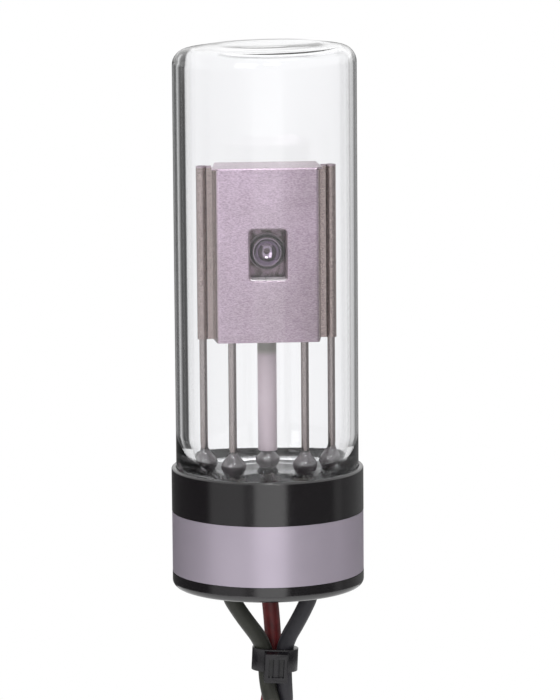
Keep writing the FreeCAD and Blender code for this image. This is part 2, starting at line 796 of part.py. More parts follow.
# Leads: routes from the splice to the terminal, in the order x, y, z
LEAD_ROUTES = {
    "lead_black_left": (
        (-6.75, -3.6, -8.0), (-6.75, -3.6, -16.6), (-0.54, -1.96, -24.6), (-0.5, -2.0, -31.2),
        (1.1, -3.1, -36.5), (3.0, -3.9, -47.0), (4.6, -3.9, -66.0), (5.3, -3.4, -92.0),
        (5.0, -3.0, -119.0), (5.0, -3.0, -142.0),
    ),
    "lead_red": (
        (0.0, 0.8, -8.0), (0.0, 0.8, -15.6), (0.6, 0.6, -21.6), (0.78, 0.33, -27.0),
        (0.3, 0.6, -32.4), (-1.0, 1.1, -40.0), (-2.7, 1.1, -53.0), (-4.2, 0.6, -73.0),
        (-4.9, 0.2, -98.0), (-4.6, 0.0, -124.0), (-4.6, 0.0, -146.0),
    ),
    "lead_black_right": (
        (6.75, -3.6, -8.0), (6.75, -3.6, -16.6), (2.1, -1.96, -24.6), (2.2, -1.9, -30.6),
        (2.5, -0.4, -35.0), (1.9, 1.6, -44.0), (1.3, 3.0, -60.0), (0.9, 3.8, -84.0),
        (0.8, 4.1, -112.0), (0.8, 4.1, -136.0),
    ),
}


def lead_path(points):
    """Straight runs joined by arcs as large as the shorter run beside each point allows."""
    corners = [FreeCAD.Vector(*point) for point in points]
    edges, radii, start = [], [], corners[0]
    for before, corner, after in zip(corners, corners[1:], corners[2:]):
        arrive, leave = (corner - before), (after - corner)
        reach = 0.45 * min(arrive.Length, leave.Length)
        half_turn = arrive.getAngle(leave) / 2
        arrive.normalize()
        leave.normalize()
        radius = reach / math.tan(half_turn)
        bend_in, bend_out = corner - arrive * reach, corner + leave * reach
        toward = (leave - arrive).normalize()
        middle = corner + toward * (radius / math.cos(half_turn) - radius)
        edges.append(Part.LineSegment(start, bend_in).toShape())
        edges.append(Part.Arc(bend_in, middle, bend_out).toShape())
        radii.append(radius)
        start = bend_out
    edges.append(Part.LineSegment(start, corners[-1]).toShape())
    return Part.Wire(edges), radii


def make_leads():
    up = FreeCAD.Vector(0, 0, 1)
    for label, points in LEAD_ROUTES.items():
        path, radii = lead_path(points)
        top, end = FreeCAD.Vector(*points[0]), FreeCAD.Vector(*points[-1])
        section = Part.Wire([Part.makeCircle(size("lead_diameter") / 2, top, up)])
        tube = path.makePipeShell([section], True, False)
        expected = math.pi * (size("lead_diameter") / 2) ** 2 * path.Length
        if abs(tube.Volume / expected - 1) > 0.01:
            raise ValueError(label + " has the wrong volume")
        tightest = min(radii)
        print(f"{label}: {path.Length:.1f} mm, radii", " ".join(f"{radius:.0f}" for radius in radii),
              f"mm, tightest {tightest / size('lead_diameter'):.1f} diameters")
        core = size("core_diameter") / 2
        grip, barrel = size("core_grip"), size("barrel_length")
        upper = Part.makeCylinder(core, size("core_overlap") + grip, top - up * grip)
        lower = Part.makeCylinder(core, barrel, end - up * (barrel - grip))
        lead = doc.addObject("Part::Feature", label)
        lead.Label = label
        lead.Shape = tube.fuse([upper, lower]).removeSplitter()


# Cable tie: one moulded strap drawn tight round the three leads, with its tail cut off in the head
ROOT_OF_THREE = "1.7320508"


def rounded_triangle(sketch, radius):
    """Outline at one radius round the three lead centres of the bundle."""
    side = "( lead_diameter + bundle_gap )"
    half = side + " / 2"
    low = side + " * " + ROOT_OF_THREE + " / 6"
    high = side + " * " + ROOT_OF_THREE + " / 3"
    slant, rise = "( " + radius + " ) * " + ROOT_OF_THREE + " / 2", "( " + radius + " ) / 2"
    outline(sketch, (
        (minus(half), minus(low + " + " + radius), radius, -1),
        (half, minus(low + " + " + radius)),
        (half + " + " + slant, rise + " - " + low, radius, -1),
        (slant, high + " + " + rise),
        (minus(slant), high + " + " + rise, radius, -1),
        (minus(half + " + " + slant), rise + " - " + low),
    ))


def make_tie():
    body = new_body("cable_tie")
    inside = "lead_diameter / 2 + tie_clearance"
    outside = inside + " + tie_thickness"
    front = "( lead_diameter + bundle_gap ) * " + ROOT_OF_THREE + " / 6 + " + inside
    strap = new_sketch(body, "XY_Plane", lift=minus("tie_width / 2"))
    rounded_triangle(strap, outside)
    pad(body, strap, "tie_width")
    head = new_sketch(body, "XZ_Plane", lift=front)
    box_outline(head, "head_width", "head_height", minus("head_sag"))
    solid = pad(body, head, "head_depth")
    hollow = new_sketch(body, "XY_Plane", lift=minus("tie_width / 2"))
    rounded_triangle(hollow, inside)
    cut_through(body, hollow, "tie_width", backwards=True)
    recess = new_sketch(body, "XZ_Plane", lift=front + " + head_depth - recess_depth")
    box_outline(recess, "recess_width", "recess_height", minus("head_sag"))
    cut_through(body, recess, "recess_depth", backwards=True)
    tail = new_sketch(body, "XZ_Plane", lift=front + " + head_depth - recess_depth")
    box_outline(tail, "tail_thickness", "recess_height", minus("head_sag"))
    pad(body, tail, "tail_rise")
    place(body, "bundle_middle", minus("bundle_forward"), minus("tie_height"))


def box_outline(sketch, width, height, up):
    half, tall = width + " / 2", height + " / 2"
    outline(sketch, (
        (half, up + " - " + tall),
        (half, up + " + " + tall),
        (minus(half), up + " + " + tall),
        (minus(half), up + " - " + tall),
    ))


# Terminals: crimped barrels with a flat fork for a small screw
def make_terminals():
    turned = (("terminal_left", 15), ("terminal_anode", -20), ("terminal_right", 30))
    for (label, angle), route in zip(turned, LEAD_ROUTES.values()):
        body = new_body(label)
        barrel = new_sketch(body, "XY_Plane", lift=minus("barrel_length"))
        circle(barrel, "0", "0", "barrel_diameter / 2")
        pad(body, barrel, "barrel_length")
        tongue = new_sketch(body, "XZ_Plane", lift=minus("fork_thickness / 2"))
        root = minus("barrel_length - fork_neck / 2")
        wide = minus("barrel_length + fork_neck / 2")
        tip = minus("barrel_length + fork_length")
        crown = minus("barrel_length + fork_length - fork_slot_depth")
        half, neck, slot = "fork_width / 2", "fork_neck / 2", "fork_slot / 2"
        outline(tongue, (
            (neck, root),
            (half, wide),
            (half, tip + " + fork_round"),
            (half + " - fork_round", tip, "fork_round", 1),
            (slot, tip),
            (slot, crown),
            (minus(slot), crown, slot, -1),
            (minus(slot), tip),
            (minus(half + " - fork_round"), tip),
            (minus(half), tip + " + fork_round", "fork_round", 1),
            (minus(half), wide),
            (minus(neck), root),
        ))
        pad(body, tongue, "fork_thickness")
        bore = new_sketch(body, "XY_Plane", lift=minus("barrel_length - barrel_end"))
        circle(bore, "0", "0", "core_diameter / 2")
        cut_through(body, bore, "barrel_length", backwards=True)
        body.Placement = FreeCAD.Placement(
            FreeCAD.Vector(*route[-1]), FreeCAD.Rotation(FreeCAD.Vector(0, 0, 1), angle))


make_bulb()
make_stem()
make_collar()
make_cement()
make_potting()
make_label()
make_rods()
make_bent_rod()
make_sleeve()
make_front_cover()
make_rear_cover()
make_window_shield()
make_aperture_plate()
make_aperture_cup()
make_insulator()
make_anode()
make_cathode()
make_splices()
make_leads()
make_tie()
make_terminals()
doc.recompute()

PIECES = ("PartDesign::Body", "Part::Cylinder", "Part::Box", "Part::Feature")
parts = [item for item in doc.Objects if item.TypeId in PIECES]
for item in doc.Objects:
    if "Invalid" in item.State or "Error" in item.State:
        raise ValueError(item.Label + " did not recompute")
for part in parts:
    if part.Shape.isNull() or not part.Shape.isValid():
        raise ValueError(part.Label + " has no valid shape")
os.makedirs("parts", exist_ok=True)
for part in parts:
    part.Shape.exportStep("parts/" + part.Label + ".step")
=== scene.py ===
import math

import bmesh
import bpy
from mathutils import Matrix, Quaternion, Vector


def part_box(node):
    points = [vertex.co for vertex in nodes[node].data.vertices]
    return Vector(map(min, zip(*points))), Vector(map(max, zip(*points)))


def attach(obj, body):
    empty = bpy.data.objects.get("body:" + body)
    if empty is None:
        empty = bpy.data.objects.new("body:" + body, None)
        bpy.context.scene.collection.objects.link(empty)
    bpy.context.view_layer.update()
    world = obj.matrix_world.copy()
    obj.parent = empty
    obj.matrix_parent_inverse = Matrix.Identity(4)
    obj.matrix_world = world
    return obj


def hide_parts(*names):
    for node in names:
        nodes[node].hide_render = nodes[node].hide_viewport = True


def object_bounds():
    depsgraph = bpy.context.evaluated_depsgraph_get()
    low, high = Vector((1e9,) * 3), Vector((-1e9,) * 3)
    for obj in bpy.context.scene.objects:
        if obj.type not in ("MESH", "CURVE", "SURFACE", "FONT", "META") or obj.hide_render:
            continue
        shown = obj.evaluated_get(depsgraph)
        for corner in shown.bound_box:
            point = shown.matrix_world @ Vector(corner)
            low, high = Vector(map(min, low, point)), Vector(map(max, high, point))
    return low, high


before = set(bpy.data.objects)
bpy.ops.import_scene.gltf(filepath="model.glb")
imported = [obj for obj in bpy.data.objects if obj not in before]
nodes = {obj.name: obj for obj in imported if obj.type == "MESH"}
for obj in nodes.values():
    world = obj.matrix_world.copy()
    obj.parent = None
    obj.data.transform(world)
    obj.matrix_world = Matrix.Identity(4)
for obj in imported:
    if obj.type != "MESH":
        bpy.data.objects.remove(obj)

cad_low, cad_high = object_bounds()
scene = bpy.context.scene
MM = 0.001


# Camera
# A long lens stands well back from the lamp, a little above it and to its left, and is
# aimed between the collar and the electrode box. The lamp leans a hair to the left in view.
aim = Vector((2.1, 0.0, 21.7)) * MM
camera_distance = 650 * MM
camera_azimuth = math.radians(-3.5)
camera_elevation = math.radians(8.8)
camera_lean = math.radians(-0.43)
away = Vector((
    math.sin(camera_azimuth) * math.cos(camera_elevation),
    -math.cos(camera_azimuth) * math.cos(camera_elevation),
    math.sin(camera_elevation),
))
camera = bpy.data.objects.new("camera", bpy.data.cameras.new("camera"))
camera.data.lens = 214.7
camera.data.clip_start = 0.05
camera.data.clip_end = 20.0
camera.location = aim + away * camera_distance
camera.rotation_mode = "QUATERNION"
camera.rotation_quaternion = (-away).to_track_quat("-Z", "Y") @ Quaternion((0, 0, 1), camera_lean)
scene.collection.objects.link(camera)
scene.camera = camera
scene.view_settings.view_transform = "Standard"


# Studio
# White paper all round, which the camera and the clear glass see as plain white. Mirrored rays
# meet banded walls instead, set to give the photograph's reflections: one set for the
# outside of the lamp, and one for rays that have passed through its glass.
def linear(hex_colour):
    """Linear red, green, blue and alpha of an sRGB hex colour."""
    channels = [int(hex_colour[digit:digit + 2], 16) / 255 for digit in (0, 2, 4)]
    return [c / 12.92 if c <= 0.04045 else ((c + 0.055) / 1.055) ** 2.4 for c in channels] + [1.0]


def add(tree, kind, inputs=None, **settings):
    """Add one node to a tree, with its settings, values and links."""
    node = tree.nodes.new(kind)
    for name, value in settings.items():
        setattr(node, name, value)
    for name, value in (inputs or {}).items():
        if isinstance(value, bpy.types.NodeSocket):
            tree.links.new(value, node.inputs[name])
        else:
            node.inputs[name].default_value = value
    return node


studio = bpy.data.worlds.new("studio")
scene.world = studio
studio.use_nodes = True
tree = studio.node_tree
tree.nodes.clear()
light_path = add(tree, "ShaderNodeLightPath")
way = add(tree, "ShaderNodeTexCoord")
direction = add(tree, "ShaderNodeSeparateXYZ", {0: way.outputs["Generated"]})
toward = add(tree, "ShaderNodeMath", {0: direction.outputs["Y"], 1: -1.0}, operation="MULTIPLY")
bearing = add(tree, "ShaderNodeMath", {0: direction.outputs["X"], 1: toward.outputs[0]},
              operation="ARCTAN2")
degrees = add(tree, "ShaderNodeMath", {0: bearing.outputs[0]}, operation="DEGREES")
turned_by = add(tree, "ShaderNodeMath", {0: degrees.outputs[0], 1: math.degrees(camera_azimuth)},
                operation="SUBTRACT")
round_about = add(tree, "ShaderNodeMapRange",
                  {0: turned_by.outputs[0], 1: -180.0, 2: 180.0, 3: 0.0, 4: 1.0})
upward = direction.outputs["Z"]

# Walls of the two rooms as (bearing in degrees, level). The bearing runs from the camera's side
# at 0 round the lamp both ways, and is fixed in the world.
brightest = 1.6
outer_room = (
    (-180, 0.15), (-150, 0.08), (-120, 0.07), (-77, 0.06), (-70, 0.42), (-30, 0.46),
    (-26, 0.26), (-18, 0.26), (-13, 1.10), (20, 1.20), (25, 0.12), (84, 0.12),
    (90, 0.30), (98, 0.30), (102, 0.20), (138, 0.25), (150, 0.22), (180, 0.15),
)
inner_room = (
    (-180, 0.42), (-176, 0.40), (-170, 0.10), (-165, 0.03), (-161, 0.20), (-157, 0.80),
    (-152, 0.38), (-147, 0.07), (-134, 0.06), (-130, 0.95), (-80, 1.10), (-10, 1.30),
    (25, 1.10), (45, 0.50), (100, 0.35), (118, 0.80), (134, 1.00), (138, 0.55),
    (143, 0.72), (152, 0.70), (156, 0.21), (163, 0.21), (172, 0.50),
)
# Each room's ceiling: the upward reach where it begins and where it is whole, and its level
outer_ceiling = (-0.06, 0.10, 1.0)
inner_ceiling = (-0.07, 0.05, 1.15)
ground_from, ground_whole, ground_level = -0.22, -0.50, 0.22
rooms = []
for stops, ceiling_reach in ((outer_room, outer_ceiling), (inner_room, inner_ceiling)):
    ceiling_from, ceiling_whole, ceiling_level = ceiling_reach
    walls = add(tree, "ShaderNodeValToRGB", {0: round_about.outputs[0]})
    while len(walls.color_ramp.elements) < len(stops):
        walls.color_ramp.elements.new(1.0)
    for mark, (stop_bearing, value) in zip(walls.color_ramp.elements, stops):
        mark.position = (stop_bearing + 180) / 360
        mark.color = (value / brightest, value / brightest, value / brightest, 1.0)
    lit_walls = add(tree, "ShaderNodeMath", {0: walls.outputs["Color"], 1: brightest},
                    operation="MULTIPLY")
    ceiling = add(tree, "ShaderNodeMapRange",
                  {0: upward, 1: ceiling_from, 2: ceiling_whole, 3: 0.0, 4: 1.0},
                  interpolation_type="SMOOTHSTEP")
    roofed = add(tree, "ShaderNodeMix",
                 {0: ceiling.outputs[0], 2: lit_walls.outputs[0], 3: ceiling_level})
    ground = add(tree, "ShaderNodeMapRange",
                 {0: upward, 1: ground_from, 2: ground_whole, 3: 0.0, 4: 1.0},
                 interpolation_type="SMOOTHSTEP")
    rooms.append(add(tree, "ShaderNodeMix",
                     {0: ground.outputs[0], 2: roofed.outputs[0], 3: ground_level}))
inside = add(tree, "ShaderNodeMath", {0: light_path.outputs["Transmission Depth"], 1: 0.5},
             operation="GREATER_THAN")
room = add(tree, "ShaderNodeMix",
           {0: inside.outputs[0], 2: rooms[0].outputs[0], 3: rooms[1].outputs[0]})
mirrored = add(tree, "ShaderNodeMath", {0: light_path.outputs["Glossy Depth"], 1: 0.5},
               operation="GREATER_THAN")
scattered = add(tree, "ShaderNodeMath", {0: light_path.outputs["Diffuse Depth"], 1: 0.5},
                operation="GREATER_THAN")
backdrop = add(tree, "ShaderNodeMix", {0: mirrored.outputs[0], 2: 1.0, 3: room.outputs[0]})
shown = add(tree, "ShaderNodeMath",
            {0: light_path.outputs["Is Camera Ray"], 1: light_path.outputs["Is Glossy Ray"]},
            operation="MAXIMUM")
shown = add(tree, "ShaderNodeMath",
            {0: shown.outputs[0], 1: light_path.outputs["Is Transmission Ray"]},
            operation="MAXIMUM")
unscattered = add(tree, "ShaderNodeMath", {0: shown.outputs[0], 1: scattered.outputs[0]},
                  operation="SUBTRACT", use_clamp=True)

# Scattered light: an even fill that rises softly toward the key's side
key_side, key_edge = (-0.46, -0.74, 0.49), 0.55
fill_level, key_level = 0.68, 2.1
facing = add(tree, "ShaderNodeVectorMath", {0: way.outputs["Generated"], 1: key_side},
             operation="DOT_PRODUCT")
lit_side = add(tree, "ShaderNodeMapRange",
               {0: facing.outputs["Value"], 1: key_edge, 2: 1.0, 3: fill_level, 4: key_level},
               interpolation_type="SMOOTHSTEP")
level = add(tree, "ShaderNodeMix",
            {0: unscattered.outputs[0], 2: lit_side.outputs[0], 3: backdrop.outputs[0]})
glow = add(tree, "ShaderNodeBackground", {"Color": linear("ffffff"), "Strength": level.outputs[0]})
add(tree, "ShaderNodeOutputWorld", {"Surface": glow.outputs[0]})

# Soft boxes: name, place in metres, width, height, power in watts, and whether it is mirrored.
# Only the small spark is, for the rooms' walls already stand for the others.
box_target = Vector((0, 0, 0.02))
soft_boxes = (
    ("key", (-0.42, -0.62, 0.36), 0.45, 0.60, 2.0, False),
    ("top", (0.10, -0.10, 0.75), 0.55, 0.55, 1.5, False),
    ("spark", (0.06, -0.60, 0.56), 0.20, 0.14, 2.00, True),
)
for name, place, wide, high, power, is_mirrored in soft_boxes:
    box = bpy.data.objects.new(name, bpy.data.lights.new(name, "AREA"))
    box.data.shape = "RECTANGLE"
    box.data.size, box.data.size_y = wide, high
    box.data.energy = power
    box.visible_glossy = is_mirrored
    box.location = place
    box.rotation_mode = "QUATERNION"
    box.rotation_quaternion = (box_target - Vector(place)).to_track_quat("-Z", "Y")
    scene.collection.objects.link(box)

# Floor: a pale disc under the hanging leads, which fades into the white of the room
floor_radius, floor_height = 0.42, cad_low.z - 0.004
fade_from, fade_whole, nearest_share = 0.08, 0.36, 0.25
shape = bmesh.new()
bmesh.ops.create_circle(shape, cap_ends=True, segments=96, radius=floor_radius,
                        matrix=Matrix.Translation((0, 0, floor_height)))
floor_mesh = bpy.data.meshes.new("floor")
shape.to_mesh(floor_mesh)
shape.free()
floor = bpy.data.objects.new("floor", floor_mesh)
scene.collection.objects.link(floor)
paper = bpy.data.materials.new("white_paper")
paper.use_nodes = True
tree = paper.node_tree
tree.nodes.clear()
where = add(tree, "ShaderNodeTexCoord").outputs["Object"]
level_place = add(tree, "ShaderNodeVectorMath", {0: where, 1: (1.0, 1.0, 0.0)},
                  operation="MULTIPLY")
reach = add(tree, "ShaderNodeVectorMath", {0: level_place.outputs[0]}, operation="LENGTH")
fibres = add(tree, "ShaderNodeTexNoise", {"Vector": where, "Scale": 400.0})
grey = add(tree, "ShaderNodeMix",
           {0: fibres.outputs["Fac"], 6: linear("f2f2f2"), 7: linear("f7f7f7")},
           data_type="RGBA")
matt = add(tree, "ShaderNodeBsdfDiffuse", {"Color": grey.outputs[2]})
white = add(tree, "ShaderNodeEmission", {"Color": linear("ffffff"), "Strength": 1.0})
fade = add(tree, "ShaderNodeMapRange",
           {0: reach.outputs["Value"], 1: fade_from, 2: fade_whole, 3: nearest_share, 4: 1.0},
           interpolation_type="SMOOTHSTEP")
light_path = add(tree, "ShaderNodeLightPath")
seen = add(tree, "ShaderNodeMath",
           {0: light_path.outputs["Is Camera Ray"], 1: light_path.outputs["Is Glossy Ray"]},
           operation="MAXIMUM")
seen = add(tree, "ShaderNodeMath",
           {0: seen.outputs[0], 1: light_path.outputs["Is Transmission Ray"]},
           operation="MAXIMUM")
share = add(tree, "ShaderNodeMath", {0: seen.outputs[0], 1: fade.outputs[0]}, operation="MULTIPLY")
mixed = add(tree, "ShaderNodeMixShader",
            {0: share.outputs[0], 1: matt.outputs[0], 2: white.outputs[0]})
add(tree, "ShaderNodeOutputMaterial", {"Surface": mixed.outputs[0]})
floor_mesh.materials.append(paper)


# Leads
# Three limp wires, stranded copper in extruded silicone rubber, hang from the collar and are
# drawn together by the tie. The rubber is matt with a faint sheen where it was wiped.
def start_material(name, inputs):
    """A material with its Principled shader set, and the object's coordinates in millimetres."""
    material = bpy.data.materials.new(name)
    material.use_nodes = True
    tree = material.node_tree
    shader = tree.nodes["Principled BSDF"]
    for socket, value in inputs.items():
        shader.inputs[socket].default_value = value
    where = add(tree, "ShaderNodeTexCoord").outputs["Object"]
    scaled = add(tree, "ShaderNodeMapping", {"Vector": where, "Scale": (1000.0, 1000.0, 1000.0)})
    return material, tree, shader, scaled.outputs[0]


# Control points of each route in millimetres, from the potting down to the terminal
lead_diameter = 2.6 * MM
lead_routes = {
    "lead_black_left": (
        (-6.75, -3.6, -8.0), (-6.9, -3.6, -15.4), (-4.4, -3.0, -19.7), (-0.54, -1.96, -25.0),
        (-0.5, -2.0, -31.2), (1.1, -3.1, -36.5), (3.0, -3.9, -47.0), (4.6, -3.9, -66.0),
        (5.3, -3.4, -92.0), (5.0, -3.0, -119.0), (5.0, -3.0, -142.0),
    ),
    "lead_red": (
        (0.0, 0.8, -8.0), (0.0, 0.8, -15.6), (0.6, 0.6, -21.6), (0.78, 0.33, -27.0),
        (0.3, 0.6, -32.4), (-1.0, 1.1, -40.0), (-2.7, 1.1, -53.0), (-4.2, 0.6, -73.0),
        (-4.9, 0.2, -98.0), (-4.6, 0.0, -124.0), (-4.6, 0.0, -146.0),
    ),
    "lead_black_right": (
        (6.75, -3.6, -8.0), (6.9, -3.6, -15.4), (4.9, -3.0, -20.0), (2.1, -1.96, -25.0),
        (2.2, -1.9, -30.6), (2.5, -0.4, -35.0), (1.9, 1.6, -44.0), (1.3, 3.0, -60.0),
        (0.9, 3.8, -84.0), (0.8, 4.1, -112.0), (0.8, 4.1, -136.0),
    ),
}
# Length in metres, terminal, slot, and the rubber's pale and deep colours
lead_facts = {
    "lead_black_left": (0.1363, "terminal_left", "lead_olive_black", "2a2b24", "1d1e19"),
    "lead_red": (0.1384, "terminal_anode", "lead_red", "732527", "48181a"),
    "lead_black_right": (0.1296, "terminal_right", "lead_blue_black", "29282d", "1c1b20"),
}


def rubber(name, pale, deep):
    """Extruded silicone rubber: mottled about every 2 mm, matt, with a grit of about 0.1 mm."""
    material, tree, shader, place = start_material(name, {"IOR": 1.42, "Specular IOR Level": 0.45})
    cloud = add(tree, "ShaderNodeTexNoise", {"Vector": place, "Scale": 0.55, "Detail": 4.0})
    grit = add(tree, "ShaderNodeTexNoise", {"Vector": place, "Scale": 9.0, "Detail": 3.0})
    shade = add(tree, "ShaderNodeMath", {0: cloud.outputs["Fac"], 1: grit.outputs["Fac"]},
                operation="MULTIPLY")
    spread = add(tree, "ShaderNodeMapRange", {0: shade.outputs[0], 1: 0.12, 2: 0.40})
    colour = add(tree, "ShaderNodeMix", {0: spread.outputs[0], 6: linear(deep), 7: linear(pale)},
                 data_type="RGBA")
    tree.links.new(colour.outputs[2], shader.inputs["Base Color"])
    rough = add(tree, "ShaderNodeMapRange",
                {0: cloud.outputs["Fac"], 1: 0.3, 2: 0.7, 3: 0.36, 4: 0.52})
    tree.links.new(rough.outputs[0], shader.inputs["Roughness"])
    bump = add(tree, "ShaderNodeBump",
               {"Height": grit.outputs["Fac"], "Strength": 0.18, "Distance": 0.05 * MM})
    tree.links.new(bump.outputs[0], shader.inputs["Normal"])
    return material


copper, tree, shader, place = start_material("tinned_copper_strand",
                                             {"Metallic": 1.0, "Roughness": 0.32})
tarnish = add(tree, "ShaderNodeTexNoise", {"Vector": place, "Scale": 1.6, "Detail": 5.0})
tint = add(tree, "ShaderNodeMix",
           {0: tarnish.outputs["Fac"], 6: linear("c9c4bb"), 7: linear("a8a39c")},
           data_type="RGBA")
tree.links.new(tint.outputs[2], shader.inputs["Base Color"])


def link(name, mesh):
    """Put a mesh in the scene, riding with the lamp."""
    piece = bpy.data.objects.new(name, mesh)
    scene.collection.objects.link(piece)
    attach(piece, "root")
    return piece


core_length = 4.8 * MM


def bare_core(name, foot, length):
    """Seven twisted strands that stand up from a lead's cut sheath into its splice."""
    strand_radius, ring_radius, outer_strands = 0.16 * MM, 0.33 * MM, 6
    twist, steps = math.radians(150), 10
    shape = bmesh.new()
    for number in range(outer_strands + 1):
        angle = math.radians(60 * number)
        out = ring_radius if number < outer_strands else 0.0
        start = foot + Vector((math.cos(angle) * out, math.sin(angle) * out, 0))
        ring = bmesh.ops.create_circle(shape, segments=8, radius=strand_radius,
                                       matrix=Matrix.Translation(start))
        edges = list({edge for vert in ring["verts"] for edge in vert.link_edges})
        bmesh.ops.spin(shape, geom=edges, cent=foot, axis=(0, 0, 1), dvec=(0, 0, length / steps),
                       angle=twist, steps=steps, use_duplicate=False)
    bmesh.ops.holes_fill(shape, edges=[edge for edge in shape.edges if edge.is_boundary], sides=8)
    bmesh.ops.recalc_face_normals(shape, faces=shape.faces)
    mesh = bpy.data.meshes.new(name)
    shape.to_mesh(mesh)
    shape.free()
    mesh.shade_smooth()
    mesh.materials.append(copper)
    core = link(name, mesh)
    return core


# Cable tie
# One strap of black polyamide, injection moulded and drawn tight round the three leads. Its
# tail is cut off just past the head. The plastic is half gloss, with soft moulded edges.
def plastic(name, base, pale, roughness, grit_size):
    """Dark moulded plastic: clouding of about 3 mm, pores of the grit's size in millimetres."""
    material, tree, shader, place = start_material(name, {"IOR": 1.5, "Specular IOR Level": 0.5})
    cloud = add(tree, "ShaderNodeTexNoise", {"Vector": place, "Scale": 0.35, "Detail": 5.0})
    grit = add(tree, "ShaderNodeTexNoise",
               {"Vector": place, "Scale": 1.0 / grit_size, "Detail": 4.0})
    tint = add(tree, "ShaderNodeMix", {0: cloud.outputs["Fac"], 6: linear(base), 7: linear(pale)},
               data_type="RGBA")
    tree.links.new(tint.outputs[2], shader.inputs["Base Color"])
    rough = add(tree, "ShaderNodeMapRange",
                {0: grit.outputs["Fac"], 1: 0.3, 2: 0.7, 3: roughness - 0.06, 4: roughness + 0.08})
    tree.links.new(rough.outputs[0], shader.inputs["Roughness"])
    bump = add(tree, "ShaderNodeBump",
               {"Height": grit.outputs["Fac"], "Strength": 0.15, "Distance": 0.03 * MM})
    tree.links.new(bump.outputs[0], shader.inputs["Normal"])
    return material, tree, shader, place


tie_plastic = plastic("black_polyamide", "0a080b", "131116", 0.24, 0.12)[0]
tie_low, tie_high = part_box("cable_tie")
tie_middle = (tie_low + tie_high) / 2
tie_taller, tie_lean, tie_edge = 1.18, math.radians(3.0), 0.14 * MM
flat_limit, hard_edge, smooth_limit = math.radians(4), math.radians(50), math.radians(35)
merge_distance = 0.001 * MM
shape = bmesh.new()
shape.from_mesh(nodes["cable_tie"].data)
bmesh.ops.remove_doubles(shape, verts=shape.verts, dist=merge_distance)
bmesh.ops.dissolve_limit(shape, angle_limit=flat_limit, verts=shape.verts, edges=shape.edges)
hard = [edge for edge in shape.edges
        if len(edge.link_faces) == 2 and edge.calc_face_angle() > hard_edge]
bmesh.ops.bevel(shape, geom=hard, offset=tie_edge, offset_type="OFFSET", segments=2, profile=0.5,
                affect="EDGES", material=-1, clamp_overlap=True)
bmesh.ops.recalc_face_normals(shape, faces=shape.faces)
tie_mesh = bpy.data.meshes.new("cable_tie_moulded")
shape.to_mesh(tie_mesh)
shape.free()
tie_mesh.transform(Matrix.Translation(tie_middle) @ Matrix.Rotation(tie_lean, 4, "Y")
                   @ Matrix.Diagonal((1.0, 1.0, tie_taller, 1.0)) @ Matrix.Translation(-tie_middle))
tie_mesh.shade_smooth()
tie_mesh.set_sharp_from_angle(angle=smooth_limit)
tie_mesh.materials.append(tie_plastic)
tie = link("cable_tie_moulded", tie_mesh)
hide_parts("cable_tie")


# Sheaths of the leads
# Each is a tube of silicone rubber, extruded over its wire, that hangs from the potting through
# the tie to its terminal. Above, the bare copper core stands up into the splice.
for name, points in lead_routes.items():
    length, terminal, slot_name, pale, deep = lead_facts[name]
    curve = bpy.data.curves.new(name + "_sheath", "CURVE")
    curve.dimensions = "3D"
    spline = curve.splines.new("NURBS")
    spline.points.add(len(points) - 1)
    for control, point in zip(spline.points, points):
        control.co = (*(Vector(point) * MM), 1.0)
    spline.order_u = 3
    spline.use_endpoint_u = True
    curve.resolution_u = 24
    curve.bevel_depth = lead_diameter / 2
    curve.bevel_resolution = 6
    curve.use_fill_caps = True
    curve.materials.append(rubber("silicone_rubber_" + name.removeprefix("lead_"), pale, deep))
    lead = link(name + "_sheath", curve)
    core = bare_core(name + "_core", Vector(points[0]) * MM, core_length)
    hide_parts(name)


# Terminals
# Fork lugs stamped from tinned copper sheet and crimped on the leads' ends. The tin is dull
# and a little cloudy, with fine marks from the press.
tin, tree, shader, place = start_material("tinned_copper_sheet", {"Metallic": 1.0})
cloud = add(tree, "ShaderNodeTexNoise", {"Vector": place, "Scale": 0.9, "Detail": 6.0})
scratch_place = add(tree, "ShaderNodeMapping", {"Vector": place, "Scale": (6.0, 6.0, 0.7)})
scratches = add(tree, "ShaderNodeTexNoise",
                {"Vector": scratch_place.outputs[0], "Scale": 3.0, "Detail": 3.0})
tint = add(tree, "ShaderNodeMix",
           {0: cloud.outputs["Fac"], 6: linear("d0cdc8"), 7: linear("aeaba6")},
           data_type="RGBA")
tree.links.new(tint.outputs[2], shader.inputs["Base Color"])
rough = add(tree, "ShaderNodeMapRange",
            {0: scratches.outputs["Fac"], 1: 0.3, 2: 0.7, 3: 0.25, 4: 0.45})
tree.links.new(rough.outputs[0], shader.inputs["Roughness"])
bump = add(tree, "ShaderNodeBump",
           {"Height": scratches.outputs["Fac"], "Strength": 0.2, "Distance": 0.02 * MM})
tree.links.new(bump.outputs[0], shader.inputs["Normal"])


def dress(name, material):
    """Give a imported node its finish."""
    mesh = nodes[name].data
    mesh.materials.clear()
    mesh.materials.append(material)


for name in ("terminal_left", "terminal_anode", "terminal_right"):
    dress(name, tin)


# Collar
# A cup moulded in black phenolic. Fine rings from trimming and handling run round it, so its
# reflections stand as soft upright bands with a slight flicker. Its specular level is raised
# above the usual 0.5, to reach the brightness of the photograph's bands.
collar_plastic, tree, shader, place = plastic("black_phenolic", "080608", "0e0b0e", 0.14, 0.25)
